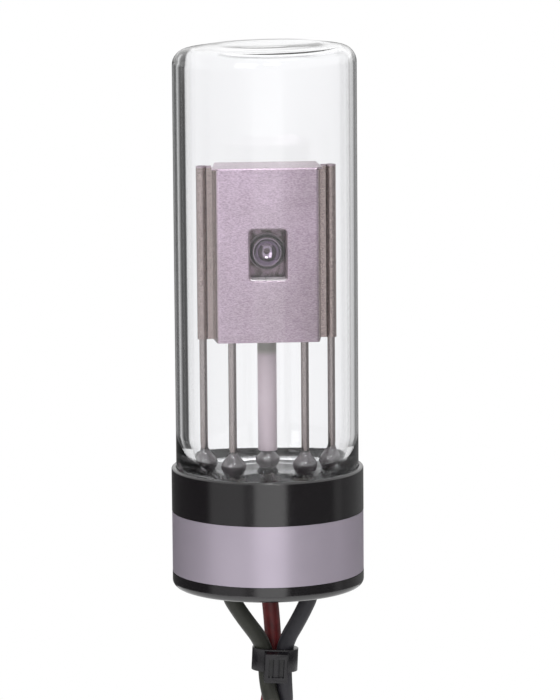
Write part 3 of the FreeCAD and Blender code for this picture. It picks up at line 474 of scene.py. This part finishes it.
# The rings are drawn about 0.3 mm apart: the real ones are finer and wouldn't show
rings = add(tree, "ShaderNodeTexWave",
            {"Vector": place, "Scale": 1.1, "Distortion": 2.0, "Detail": 3.0, "Detail Scale": 2.0},
            wave_type="BANDS", bands_direction="Z")
ring_bump = add(tree, "ShaderNodeBump",
                {"Height": rings.outputs["Fac"], "Strength": 0.10, "Distance": 0.006 * MM,
                 "Normal": shader.inputs["Normal"].links[0].from_socket})
tree.links.new(ring_bump.outputs[0], shader.inputs["Normal"])
shader.inputs["Specular IOR Level"].default_value = 1.0
dress("base_collar", collar_plastic)


# Label
# A strip of metallised polyester film, glued into the collar's shallow recess with its ends
# meeting at the back. It is left bare: satin silver with a lavender cast and a fine grain.
film, tree, shader, place = start_material("metallised_film", {"Metallic": 0.80})
# The grain is drawn about 0.3 mm long, coarser than the real one, so that it shows
grain_place = add(tree, "ShaderNodeMapping", {"Vector": place, "Scale": (1.0, 1.0, 6.0)})
grain = add(tree, "ShaderNodeTexNoise",
            {"Vector": grain_place.outputs[0], "Scale": 3.0, "Detail": 5.0})
cloud = add(tree, "ShaderNodeTexNoise", {"Vector": place, "Scale": 0.12, "Detail": 3.0})
tint = add(tree, "ShaderNodeMix",
           {0: cloud.outputs["Fac"], 6: linear("beb4c2"), 7: linear("b1a8b6")},
           data_type="RGBA")
tree.links.new(tint.outputs[2], shader.inputs["Base Color"])
rough = add(tree, "ShaderNodeMapRange", {0: grain.outputs["Fac"], 1: 0.3, 2: 0.7, 3: 0.30, 4: 0.42})
tree.links.new(rough.outputs[0], shader.inputs["Roughness"])
bump = add(tree, "ShaderNodeBump",
           {"Height": grain.outputs["Fac"], "Strength": 0.10, "Distance": 0.02 * MM})
tree.links.new(bump.outputs[0], shader.inputs["Normal"])
dress("label_band", film)


# Cement and potting
# Grey cement seats the bulb on the collar's shoulder, and a black cast resin holds the leads
# in the collar's foot. Both set as they were poured, matt and a little lumpy.
cement = plastic("lamp_cement", "3c383a", "57525a", 0.75, 0.5)[0]
resin = plastic("cast_resin", "0d0c0d", "171517", 0.30, 1.2)[0]
dress("cement_ring", cement)
dress("potting_plug", resin)
for name in ("splice_left", "splice_anode", "splice_right"):
    dress(name, tin)


# Glass
# A drawn tube, worked flat and a little askew at the top, with a pressed stem melted into its
# foot. It is one piece of clear glass by then: the wall flares into the stem, and the stem has
# risen round each rod as a drop. The melted foot is rippled.
bulb_low, bulb_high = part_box("bulb")
glass_radius, glass_top, glass_end = bulb_high.x, bulb_high.z, bulb_low.z
top_wall, foot_wall = 1.0 * MM, 1.0 * MM
foot_radius = glass_radius - foot_wall
bore_radius, bore_offset = 12.7 * MM, 0.3 * MM
shoulder_radius, shoulder_fall = 2.2 * MM, 0.8 * MM
inner_round, end_round, foot_round = 1.3 * MM, 0.35 * MM, 0.3 * MM
dish_radius, dish_depth = 8.5 * MM, 0.28 * MM
stem_top, stem_under = 1.8 * MM, 0.9 * MM
# The wall's flare into the stem, as (radius, height) in millimetres
flare = ((12.68, 8.8), (12.55, 7.2), (12.3, 5.8), (12.0, 4.4), (11.6, 3.2), (11.0, 2.3),
         (10.2, 1.8))
exhaust = Vector((0.0, 7.2, 0.0)) * MM
bulb_steps, tip_steps, drop_steps, bevel_steps, dish_points = 128, 32, 20, 8, 8
glass_smooth_limit = math.radians(50)


def dish(lift):
    """Points of the dished top, from the axis outwards."""
    points = []
    for step in range(dish_points + 1):
        fall = dish_depth * (1 - (step / dish_points) ** 2) ** 1.5
        points.append((dish_radius * step / dish_points, lift - fall))
    return points


def turned(name, outline, steps, rounds=()):
    """Closed shape turned about the upright axis from (radius, height) points, corners rounded."""
    on_ring = 0.01 * MM
    shape = bmesh.new()
    corners = [shape.verts.new((radius, 0, height)) for radius, height in outline]
    edges = [shape.edges.new(pair) for pair in zip(corners, corners[1:])]
    bmesh.ops.spin(shape, geom=edges + corners, cent=(0, 0, 0), axis=(0, 0, 1), angle=2 * math.pi,
                   steps=steps, use_merge=True, use_duplicate=False)
    bmesh.ops.remove_doubles(shape, verts=shape.verts, dist=merge_distance)
    for radius, height, size in rounds:
        ring = [edge for edge in shape.edges if all(
            abs(vert.co.xy.length - radius) < on_ring and abs(vert.co.z - height) < on_ring
            for vert in edge.verts)]
        bmesh.ops.bevel(shape, geom=ring, offset=size, offset_type="OFFSET",
                        segments=bevel_steps, profile=0.5, affect="EDGES", material=-1)
    bmesh.ops.recalc_face_normals(shape, faces=shape.faces)
    mesh = bpy.data.meshes.new(name)
    shape.to_mesh(mesh)
    shape.free()
    piece = bpy.data.objects.new(name, mesh)
    scene.collection.objects.link(piece)
    return piece


def merged(base, tool, operation):
    """Mesh of one shape joined with, or cut by, another; both helpers are removed."""
    cut = base.modifiers.new("cut", "BOOLEAN")
    cut.object, cut.operation, cut.solver = tool, operation, "EXACT"
    state = bpy.context.evaluated_depsgraph_get()
    mesh = bpy.data.meshes.new_from_object(base.evaluated_get(state))
    bpy.data.objects.remove(base)
    bpy.data.objects.remove(tool)
    return mesh


shoulder_top = glass_top - shoulder_fall
outside_outline = dish(glass_top) + [
    (glass_radius, shoulder_top), (glass_radius, glass_end), (foot_radius, glass_end),
    (foot_radius, stem_under), (0, stem_under),
]
outside = turned("glass_outside", outside_outline, bulb_steps, rounds=(
    (glass_radius, shoulder_top, shoulder_radius), (glass_radius, glass_end, end_round),
    (foot_radius, glass_end, foot_round),
))
cavity_top = glass_top - top_wall
slope = shoulder_fall / (glass_radius - dish_radius)
inner_shoulder = cavity_top - slope * (bore_radius - dish_radius)
cavity_outline = dish(cavity_top) + [(bore_radius, inner_shoulder)]
cavity_outline += [(radius * MM, height * MM) for radius, height in flare] + [(0, stem_top)]
cavity = turned("glass_cavity", cavity_outline, bulb_steps,
                rounds=((bore_radius, inner_shoulder, inner_round),))
cavity.data.transform(Matrix.Translation((bore_offset, 0, 0)))

# The exhaust tube was melted off under the stem and left a round tip
tip_outline = ((0, 2.0), (2.1, 2.0), (2.0, -1.6), (1.5, -3.4), (0.7, -4.3), (0, -4.7))
tip_points = [(radius * MM, height * MM) for radius, height in tip_outline]
tip = turned("exhaust_tip", tip_points, tip_steps)
tip.data.transform(Matrix.Translation(exhaust))

# Drops of glass round the rods, each drawn in to a neck at its top and sunk a little in the
# floor. The outline is (radius in millimetres, share of the drop's height).
drop_outline = (
    (0.0, 1.00), (0.66, 1.00), (0.70, 0.95), (0.80, 0.86), (1.04, 0.76), (1.42, 0.66), (1.76, 0.55),
    (1.95, 0.43), (1.96, 0.32), (1.78, 0.20), (1.50, 0.10), (1.40, 0.03), (1.50, -0.05),
    (0.0, -0.05),
)
drop_heights = {
    "outer_rod_left": 4.6, "inner_rod_left": 4.5, "anode_rod": 4.4, "inner_rod_right": 4.6,
    "outer_rod_right": 4.7,
}
rod_radius = 0.6 * MM
heart_place, heart_wide, heart_tall = 0.35, 0.93, 0.9
drop_shapes = bmesh.new()
core_shapes = bmesh.new()
for name, drop_height_mm in drop_heights.items():
    low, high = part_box(name)
    rod_foot = Vector((low.x, (low.y + high.y) / 2, 0)) + Vector((rod_radius, 0, 0))
    drop_height = drop_height_mm * MM
    drop_points = [(radius * MM, share * drop_height) for radius, share in drop_outline]
    drop = turned("drop", drop_points, drop_steps)
    smooth = drop.modifiers.new("smooth", "SUBSURF")
    smooth.levels = smooth.render_levels = 2
    state = bpy.context.evaluated_depsgraph_get()
    solid = bpy.data.meshes.new_from_object(drop.evaluated_get(state))
    solid.transform(Matrix.Translation(rod_foot + Vector((0, 0, stem_top))))
    drop_shapes.from_mesh(solid)
    middle = rod_foot + Vector((0, 0, stem_top + heart_place * drop_height))
    shrink = Matrix.Diagonal((heart_wide, heart_wide, heart_tall, 1.0))
    solid.transform(Matrix.Translation(middle) @ shrink @ Matrix.Translation(-middle))
    core_shapes.from_mesh(solid)
    bpy.data.objects.remove(drop)
drops_mesh = bpy.data.meshes.new("drops")
drop_shapes.to_mesh(drops_mesh)
drop_shapes.free()
drops = bpy.data.objects.new("drops", drops_mesh)
scene.collection.objects.link(drops)

skin = merged(outside, tip, "UNION")
hollow = merged(cavity, drops, "DIFFERENCE")
glass = bmesh.new()
glass.from_mesh(hollow)
bmesh.ops.reverse_faces(glass, faces=glass.faces)
glass.from_mesh(skin)
# The top is a little askew: it rises to the right, by a share of the distance from the axis
askew, askew_from = 0.020, 58 * MM
for vert in glass.verts:
    height = max(0.0, (vert.co.z - askew_from) / (glass_top - askew_from))
    vert.co.z += askew * vert.co.x * height ** 2
glass_mesh = bpy.data.meshes.new("glass_envelope")
glass.to_mesh(glass_mesh)
glass.free()
glass_mesh.shade_smooth()
glass_mesh.set_sharp_from_angle(angle=glass_smooth_limit)

# The melted foot is rippled between these heights, on the wall only, in millimetres
melt_from, melt_whole, wall_from, wall_whole = 5.1, 3.8, 11.2, 12.4
clear_glass, tree, shader, place = start_material("borosilicate_glass", {
    "Base Color": linear("fdfdfe"), "Transmission Weight": 1.0, "IOR": 1.474, "Roughness": 0.0})
spread = add(tree, "ShaderNodeSeparateXYZ", {0: place})
foot = add(tree, "ShaderNodeMapRange",
           {0: spread.outputs["Z"], 1: melt_from, 2: melt_whole, 3: 0.0, 4: 1.0},
           interpolation_type="SMOOTHSTEP")
level_place = add(tree, "ShaderNodeVectorMath", {0: place, 1: (1.0, 1.0, 0.0)},
                  operation="MULTIPLY")
reach = add(tree, "ShaderNodeVectorMath", {0: level_place.outputs[0]}, operation="LENGTH")
wall = add(tree, "ShaderNodeMapRange",
           {0: reach.outputs["Value"], 1: wall_from, 2: wall_whole, 3: 0.0, 4: 1.0})
melted = add(tree, "ShaderNodeMath", {0: foot.outputs[0], 1: wall.outputs[0]}, operation="MULTIPLY")
ripples = add(tree, "ShaderNodeTexNoise",
              {"Vector": place, "Scale": 1.7, "Detail": 3.0, "Distortion": 0.6})
melt_bump = add(tree, "ShaderNodeBump",
                {"Height": ripples.outputs["Fac"], "Strength": melted.outputs[0],
                 "Distance": 0.10 * MM})
draw_place = add(tree, "ShaderNodeMapping", {"Vector": place, "Scale": (1.0, 1.0, 0.04)})
draw_lines = add(tree, "ShaderNodeTexNoise",
                 {"Vector": draw_place.outputs[0], "Scale": 0.30, "Detail": 1.0})
draw_bump = add(tree, "ShaderNodeBump",
                {"Height": draw_lines.outputs["Fac"], "Strength": 0.05, "Distance": 0.03 * MM,
                 "Normal": melt_bump.outputs[0]})
tree.links.new(draw_bump.outputs[0], shader.inputs["Normal"])
absorb = add(tree, "ShaderNodeVolumeAbsorption", {"Color": linear("c9d3d6"), "Density": 12.0})
tree.links.new(absorb.outputs[0], tree.nodes["Material Output"].inputs["Volume"])
glass_mesh.materials.append(clear_glass)
envelope = link("glass_envelope", glass_mesh)
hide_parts("bulb", "stem")

# The rods' oxide dissolved into the drops and stained their hearts a dark purple brown. The dark
# hearts also stand for the black collar seen in the drops, so they are partly a painted reflection
stain_low, stain_high = 2.4, 5.6
stain_and_painted_reflection, tree, shader, place = start_material("stained_glass_and_painted_reflection",
                                            {"IOR": 1.8, "Roughness": 0.03})
swirl = add(tree, "ShaderNodeTexNoise",
            {"Vector": place, "Scale": 0.8, "Detail": 3.0, "Distortion": 1.2})
spread = add(tree, "ShaderNodeSeparateXYZ", {0: place})
fall = add(tree, "ShaderNodeMapRange",
           {0: spread.outputs["Z"], 1: stain_low, 2: stain_high, 3: 0.0, 4: 1.0})
deep = add(tree, "ShaderNodeMix",
           {0: swirl.outputs["Fac"], 6: linear("41343b"), 7: linear("665860")},
           data_type="RGBA")
tint = add(tree, "ShaderNodeMix", {0: fall.outputs[0], 6: deep.outputs[2], 7: linear("574950")},
           data_type="RGBA")
tree.links.new(tint.outputs[2], shader.inputs["Base Color"])
cores_mesh = bpy.data.meshes.new("drop_cores")
core_shapes.to_mesh(cores_mesh)
core_shapes.free()
cores_mesh.shade_smooth()
cores_mesh.materials.append(stain_and_painted_reflection)
cores = link("drop_cores", cores_mesh)


# Rods
# Five rods of drawn nickel-iron wire, cut and straightened, bright but not polished. The heat
# of sealing browned them near the glass, and die lines run along them.
brown_low, brown_high = 6.0, 14.0
wire, tree, shader, place = start_material("drawn_nickel_iron", {"Metallic": 1.0})
along = add(tree, "ShaderNodeMapping", {"Vector": place, "Scale": (5.0, 5.0, 0.12)})
lines = add(tree, "ShaderNodeTexNoise", {"Vector": along.outputs[0], "Scale": 2.0, "Detail": 4.0})
height = add(tree, "ShaderNodeSeparateXYZ", {0: place})
browned = add(tree, "ShaderNodeMapRange",
              {0: height.outputs["Z"], 1: brown_low, 2: brown_high, 3: 0.8, 4: 0.1})
tint = add(tree, "ShaderNodeMix", {0: browned.outputs[0], 6: linear("a19a97"), 7: linear("857a73")},
           data_type="RGBA")
streak = add(tree, "ShaderNodeMix",
             {0: lines.outputs["Fac"], 6: tint.outputs[2], 7: linear("8f8789")},
             data_type="RGBA")
tree.links.new(streak.outputs[2], shader.inputs["Base Color"])
rough = add(tree, "ShaderNodeMapRange", {0: lines.outputs["Fac"], 1: 0.3, 2: 0.7, 3: 0.08, 4: 0.16})
tree.links.new(rough.outputs[0], shader.inputs["Roughness"])
bump = add(tree, "ShaderNodeBump",
           {"Height": lines.outputs["Fac"], "Strength": 0.05, "Distance": 0.01 * MM})
tree.links.new(bump.outputs[0], shader.inputs["Normal"])
for name in drop_heights:
    dress(name, wire)


# Ceramics
# The sleeve on the anode rod and the tile in the box are fired alumina: dense, matt, with
# a fine bisque grain and the lavender cast that sputtered metal leaves. The sleeve's top just
# under the box, and the whole tile inside it, are painted darker grey: a painted shadow of the box.
painted_shade_from, painted_shade_whole = 20.4, 21.9
alumina, tree, shader, place = start_material("fired_alumina", {"Roughness": 0.48, "IOR": 1.6})
# Fired grain is finer than 0.05 mm, and is drawn at 0.25 mm so that it shows
grain = add(tree, "ShaderNodeTexNoise", {"Vector": place, "Scale": 4.0, "Detail": 6.0})
cloud = add(tree, "ShaderNodeTexNoise", {"Vector": place, "Scale": 0.25, "Detail": 3.0})
shade = add(tree, "ShaderNodeMath", {0: grain.outputs["Fac"], 1: cloud.outputs["Fac"]},
            operation="MULTIPLY")
spread = add(tree, "ShaderNodeMapRange", {0: shade.outputs[0], 1: 0.15, 2: 0.4})
tint = add(tree, "ShaderNodeMix", {0: spread.outputs[0], 6: linear("cbbac4"), 7: linear("d6c7d0")},
           data_type="RGBA")
height = add(tree, "ShaderNodeSeparateXYZ", {0: place})
# Painted shadow: darker grey from painted_shade_from upward, under and inside the box
painted_shade_by_box = add(tree, "ShaderNodeMapRange",
             {0: height.outputs["Z"], 1: painted_shade_from, 2: painted_shade_whole, 3: 0.0, 4: 1.0},
             interpolation_type="SMOOTHSTEP")
tint = add(tree, "ShaderNodeMix", {0: painted_shade_by_box.outputs[0], 6: tint.outputs[2], 7: linear("928e87")},
           data_type="RGBA")
tree.links.new(tint.outputs[2], shader.inputs["Base Color"])
bump = add(tree, "ShaderNodeBump",
           {"Height": grain.outputs["Fac"], "Strength": 0.1, "Distance": 0.02 * MM})
tree.links.new(bump.outputs[0], shader.inputs["Normal"])
dress("ceramic_sleeve", alumina)
dress("anode_insulator", alumina)


# Electrode box
# Two covers folded from nickel sheet, 0.25 mm thick. The sheet was blasted, so it is satin
# with a fine orange peel that runs a little along the rolling, and the arc has given it a
# lavender bloom. The bloom is painted lighter toward the top left, as painted light. Spot welds
# hold the flap.
sheet_metal, tree, shader, place = start_material("blasted_nickel_sheet", {"Metallic": 1.0})
spread = add(tree, "ShaderNodeSeparateXYZ", {0: place})
# The orange peel is about 0.4 mm across, the size of the mottling in the photograph
rolling = add(tree, "ShaderNodeMapping", {"Vector": place, "Scale": (1.0, 1.0, 3.0)})
peel = add(tree, "ShaderNodeTexNoise",
           {"Vector": rolling.outputs[0], "Scale": 2.7, "Detail": 4.0, "Roughness": 0.7})
fleck = add(tree, "ShaderNodeMapRange", {0: peel.outputs["Fac"], 1: 0.36, 2: 0.64})
cloud = add(tree, "ShaderNodeTexNoise", {"Vector": place, "Scale": 0.14, "Detail": 3.0})
# The bloom lies on the front face and the flap. Toward the top left it is painted lighter,
# a painted light as from a lamp above and to the left
front_from, front_whole, flap_from, flap_whole = -4.9, -5.25, 50.4, 50.6
box_left, box_right, box_foot, box_top = -8.0, 8.0, 24.0, 50.0
front = add(tree, "ShaderNodeMapRange",
            {0: spread.outputs["Y"], 1: front_from, 2: front_whole, 3: 0.0, 4: 1.0})
flap = add(tree, "ShaderNodeMapRange",
           {0: spread.outputs["Z"], 1: flap_from, 2: flap_whole, 3: 0.0, 4: 0.6})
faced = add(tree, "ShaderNodeMath", {0: front.outputs[0], 1: flap.outputs[0]}, operation="MAXIMUM")
# Painted light: the bloom is lighter toward the left side and toward the top of the box
painted_light_across = add(tree, "ShaderNodeMapRange",
             {0: spread.outputs["X"], 1: box_left, 2: box_right, 3: 0.55, 4: 0.0})
painted_light_upright = add(tree, "ShaderNodeMapRange",
              {0: spread.outputs["Z"], 1: box_foot, 2: box_top, 3: 0.0, 4: 0.45})
painted_light_toward_top_left = add(tree, "ShaderNodeMath", {0: painted_light_across.outputs[0], 1: painted_light_upright.outputs[0]},
                    operation="ADD")
blotch = add(tree, "ShaderNodeMapRange",
             {0: cloud.outputs["Fac"], 1: 0.3, 2: 0.7, 3: -0.25, 4: 0.25})
share = add(tree, "ShaderNodeMath", {0: painted_light_toward_top_left.outputs[0], 1: blotch.outputs[0]},
            operation="ADD", use_clamp=True)
bloom_and_painted_light = add(tree, "ShaderNodeMix", {0: share.outputs[0], 6: linear("baacb5"), 7: linear("ddcadb")},
            data_type="RGBA")
bare = add(tree, "ShaderNodeMix",
           {0: cloud.outputs["Fac"], 6: linear("a29690"), 7: linear("b5a9a6")},
           data_type="RGBA")
tint = add(tree, "ShaderNodeMix", {0: faced.outputs[0], 6: bare.outputs[2], 7: bloom_and_painted_light.outputs[2]},
           data_type="RGBA")
dark_fleck = add(tree, "ShaderNodeMix", {0: 1.0, 6: tint.outputs[2], 7: linear("cbc4ca")},
                 data_type="RGBA", blend_type="MULTIPLY")
grain = add(tree, "ShaderNodeMix",
            {0: fleck.outputs[0], 6: dark_fleck.outputs[2], 7: tint.outputs[2]},
            data_type="RGBA")
# Six spot welds hold the flap, in two rows: each is a small dark dimple
weld_rows, weld_places = (-4.45, 3.35), (-4.8, -0.15, 5.25)
weld_height, weld_radius = 50.8, 0.42
weld_share = 0.0
for back in weld_rows:
    for side in weld_places:
        gap = add(tree, "ShaderNodeVectorMath", {0: place, 1: (side, back, weld_height)},
                  operation="DISTANCE")
        mark = add(tree, "ShaderNodeMapRange",
                   {0: gap.outputs["Value"], 1: weld_radius, 2: 0.5 * weld_radius, 3: 0.0, 4: 1.0},
                   interpolation_type="SMOOTHSTEP")
        joined = add(tree, "ShaderNodeMath", {0: mark.outputs[0], 1: weld_share},
                     operation="MAXIMUM")
        weld_share = joined.outputs[0]
welded = add(tree, "ShaderNodeMix", {0: weld_share, 6: grain.outputs[2], 7: linear("8c7f88")},
             data_type="RGBA")
tree.links.new(welded.outputs[2], shader.inputs["Base Color"])
# The flat front is satin; the folds and flanges were rubbed brighter
rough = add(tree, "ShaderNodeMapRange", {0: peel.outputs["Fac"], 1: 0.3, 2: 0.7, 3: 0.34, 4: 0.46})
rubbed = add(tree, "ShaderNodeMapRange", {0: peel.outputs["Fac"], 1: 0.3, 2: 0.7, 3: 0.20, 4: 0.28})
rough = add(tree, "ShaderNodeMix", {0: faced.outputs[0], 2: rubbed.outputs[0], 3: rough.outputs[0]})
tree.links.new(rough.outputs[0], shader.inputs["Roughness"])
bump = add(tree, "ShaderNodeBump",
           {"Height": peel.outputs["Fac"], "Strength": 0.5, "Distance": 0.03 * MM})
weld_bump = add(tree, "ShaderNodeBump",
                {"Height": weld_share, "Strength": 0.6, "Distance": 0.12 * MM,
                 "Normal": bump.outputs[0]})
tree.links.new(weld_bump.outputs[0], shader.inputs["Normal"])
for name in ("front_cover", "rear_cover"):
    dress(name, sheet_metal)

# The window's shield is of the same sheet. Its floor is painted near white, a painted pool of
# the light that falls in through the window, and its walls are darker
shield_floor, shield_wall = 33.56, 33.70
painted_lit_floor_nickel, tree, shader, place = start_material("nickel_with_painted_lit_floor", {"Metallic": 0.2})
haze = add(tree, "ShaderNodeTexNoise", {"Vector": place, "Scale": 1.8, "Detail": 4.0})
tint = add(tree, "ShaderNodeMix",
           {0: haze.outputs["Fac"], 6: linear("f6eef2"), 7: linear("fefafc")},
           data_type="RGBA")
height = add(tree, "ShaderNodeSeparateXYZ", {0: place})
# Painted light: near white on the floor, darker on the walls above it
walls = add(tree, "ShaderNodeMapRange",
            {0: height.outputs["Z"], 1: shield_floor, 2: shield_wall, 3: 0.0, 4: 1.0})
tint = add(tree, "ShaderNodeMix", {0: walls.outputs[0], 6: tint.outputs[2], 7: linear("7d6c74")},
           data_type="RGBA")
tree.links.new(tint.outputs[2], shader.inputs["Base Color"])
rough = add(tree, "ShaderNodeMapRange", {0: haze.outputs["Fac"], 1: 0.3, 2: 0.7, 3: 0.26, 4: 0.38})
tree.links.new(rough.outputs[0], shader.inputs["Roughness"])
bump = add(tree, "ShaderNodeBump",
           {"Height": haze.outputs["Fac"], "Strength": 0.2, "Distance": 0.03 * MM})
tree.links.new(bump.outputs[0], shader.inputs["Normal"])
dress("window_shield", painted_lit_floor_nickel)


# Aperture
# The partition and the turned cup behind the window are the same nickel, darkened and stained
# by the arc: brown and grey patches on the plate, brighter turned rings in the cup. The anode
# plate behind them is stained in the same way.
stained, tree, shader, place = start_material("arc_stained_nickel", {"Metallic": 1.0})
patches = add(tree, "ShaderNodeTexNoise",
              {"Vector": place, "Scale": 0.7, "Detail": 6.0, "Distortion": 0.4})
patch = add(tree, "ShaderNodeMapRange", {0: patches.outputs["Fac"], 1: 0.38, 2: 0.58})
tint = add(tree, "ShaderNodeMix", {0: patch.outputs[0], 6: linear("463b38"), 7: linear("8b7984")},
           data_type="RGBA")
tree.links.new(tint.outputs[2], shader.inputs["Base Color"])
rough = add(tree, "ShaderNodeMapRange",
            {0: patches.outputs["Fac"], 1: 0.3, 2: 0.7, 3: 0.5, 4: 0.34})
tree.links.new(rough.outputs[0], shader.inputs["Roughness"])
bump = add(tree, "ShaderNodeBump",
           {"Height": patches.outputs["Fac"], "Strength": 0.3, "Distance": 0.05 * MM})
tree.links.new(bump.outputs[0], shader.inputs["Normal"])
dress("aperture_plate", stained)

cup_metal, tree, shader, place = start_material("turned_nickel", {"Metallic": 1.0})
cup_low, cup_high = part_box("aperture_cup")
cup_centre = (cup_low + cup_high) / 2
lip_from, lip_whole = 2.06, 2.20
cup_place = add(tree, "ShaderNodeMapping",
                {"Vector": place, "Location": (0.0, 0.0, -cup_centre.z / MM)})
# Turned rings about 0.13 mm apart, round the cup's axis
rings = add(tree, "ShaderNodeTexWave",
            {"Vector": cup_place.outputs[0], "Scale": 2.4, "Distortion": 0.4},
            wave_type="RINGS", rings_direction="Y")
tint = add(tree, "ShaderNodeMix",
           {0: rings.outputs["Fac"], 6: linear("8f8193"), 7: linear("9c8fa1")},
           data_type="RGBA")
level_place = add(tree, "ShaderNodeVectorMath", {0: cup_place.outputs[0], 1: (1.0, 0.0, 1.0)},
                  operation="MULTIPLY")
reach = add(tree, "ShaderNodeVectorMath", {0: level_place.outputs[0]}, operation="LENGTH")
# The rounded lip is coloured darker than the dish
lip = add(tree, "ShaderNodeMapRange",
          {0: reach.outputs["Value"], 1: lip_from, 2: lip_whole, 3: 0.0, 4: 1.0})
tint = add(tree, "ShaderNodeMix", {0: lip.outputs[0], 6: tint.outputs[2], 7: linear("554a50")},
           data_type="RGBA")
tree.links.new(tint.outputs[2], shader.inputs["Base Color"])
rough = add(tree, "ShaderNodeMapRange", {0: rings.outputs["Fac"], 1: 0.0, 2: 1.0, 3: 0.07, 4: 0.12})
tree.links.new(rough.outputs[0], shader.inputs["Roughness"])

# The cup's outline in millimetres: a dish that is part of a sphere, a rounded lip and a brim
cup_back, cup_front = -cup_high.y / MM, -cup_low.y / MM
hole_radius, dish_edge, lip_edge, brim_edge = 0.5, 2.05, 2.65, cup_high.x / MM
brim_front, dish_sphere, lip_round = cup_back + 0.2, 2.3, 0.45
sphere_middle = brim_front + math.sqrt(dish_sphere ** 2 - hole_radius ** 2)
dish_steps, cup_steps, cup_smooth_limit = 16, 96, math.radians(40)
dish_curve = []
for step in range(dish_steps + 1):
    radius = hole_radius + (dish_edge - hole_radius) * step / dish_steps
    dish_curve.append((radius, sphere_middle - math.sqrt(dish_sphere ** 2 - radius ** 2)))
cup_outline = [(hole_radius, cup_back)] + dish_curve + [
    (lip_edge, cup_front), (lip_edge, brim_front), (brim_edge, brim_front), (brim_edge, cup_back),
    (hole_radius, cup_back)]
cup_points = [(radius * MM, height * MM) for radius, height in cup_outline]
cup = turned("aperture_cup_turned", cup_points, cup_steps,
             rounds=((lip_edge * MM, cup_front * MM, lip_round * MM),))
cup_facing = Matrix.Rotation(math.radians(90), 4, "X")
cup.data.transform(Matrix.Translation((0, 0, cup_centre.z)) @ cup_facing)
cup.data.shade_smooth()
cup.data.set_sharp_from_angle(angle=cup_smooth_limit)
cup.data.materials.append(cup_metal)
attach(cup, "root")
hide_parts("aperture_cup")
dress("anode_plate", stained)


# Cathode
# A coil of tungsten wire, dipped in oxide paste that dried as a chalky white crust. It hangs
# beside the window, between the two contact rods.
oxide, tree, shader, place = start_material("oxide_coating", {"Roughness": 0.9})
crust = add(tree, "ShaderNodeTexNoise", {"Vector": place, "Scale": 5.0, "Detail": 5.0})
tint = add(tree, "ShaderNodeMix",
           {0: crust.outputs["Fac"], 6: linear("b9b4ad"), 7: linear("dedad3")},
           data_type="RGBA")
tree.links.new(tint.outputs[2], shader.inputs["Base Color"])
bump = add(tree, "ShaderNodeBump",
           {"Height": crust.outputs["Fac"], "Strength": 0.6, "Distance": 0.05 * MM})
tree.links.new(bump.outputs[0], shader.inputs["Normal"])
dress("cathode_coil", oxide)
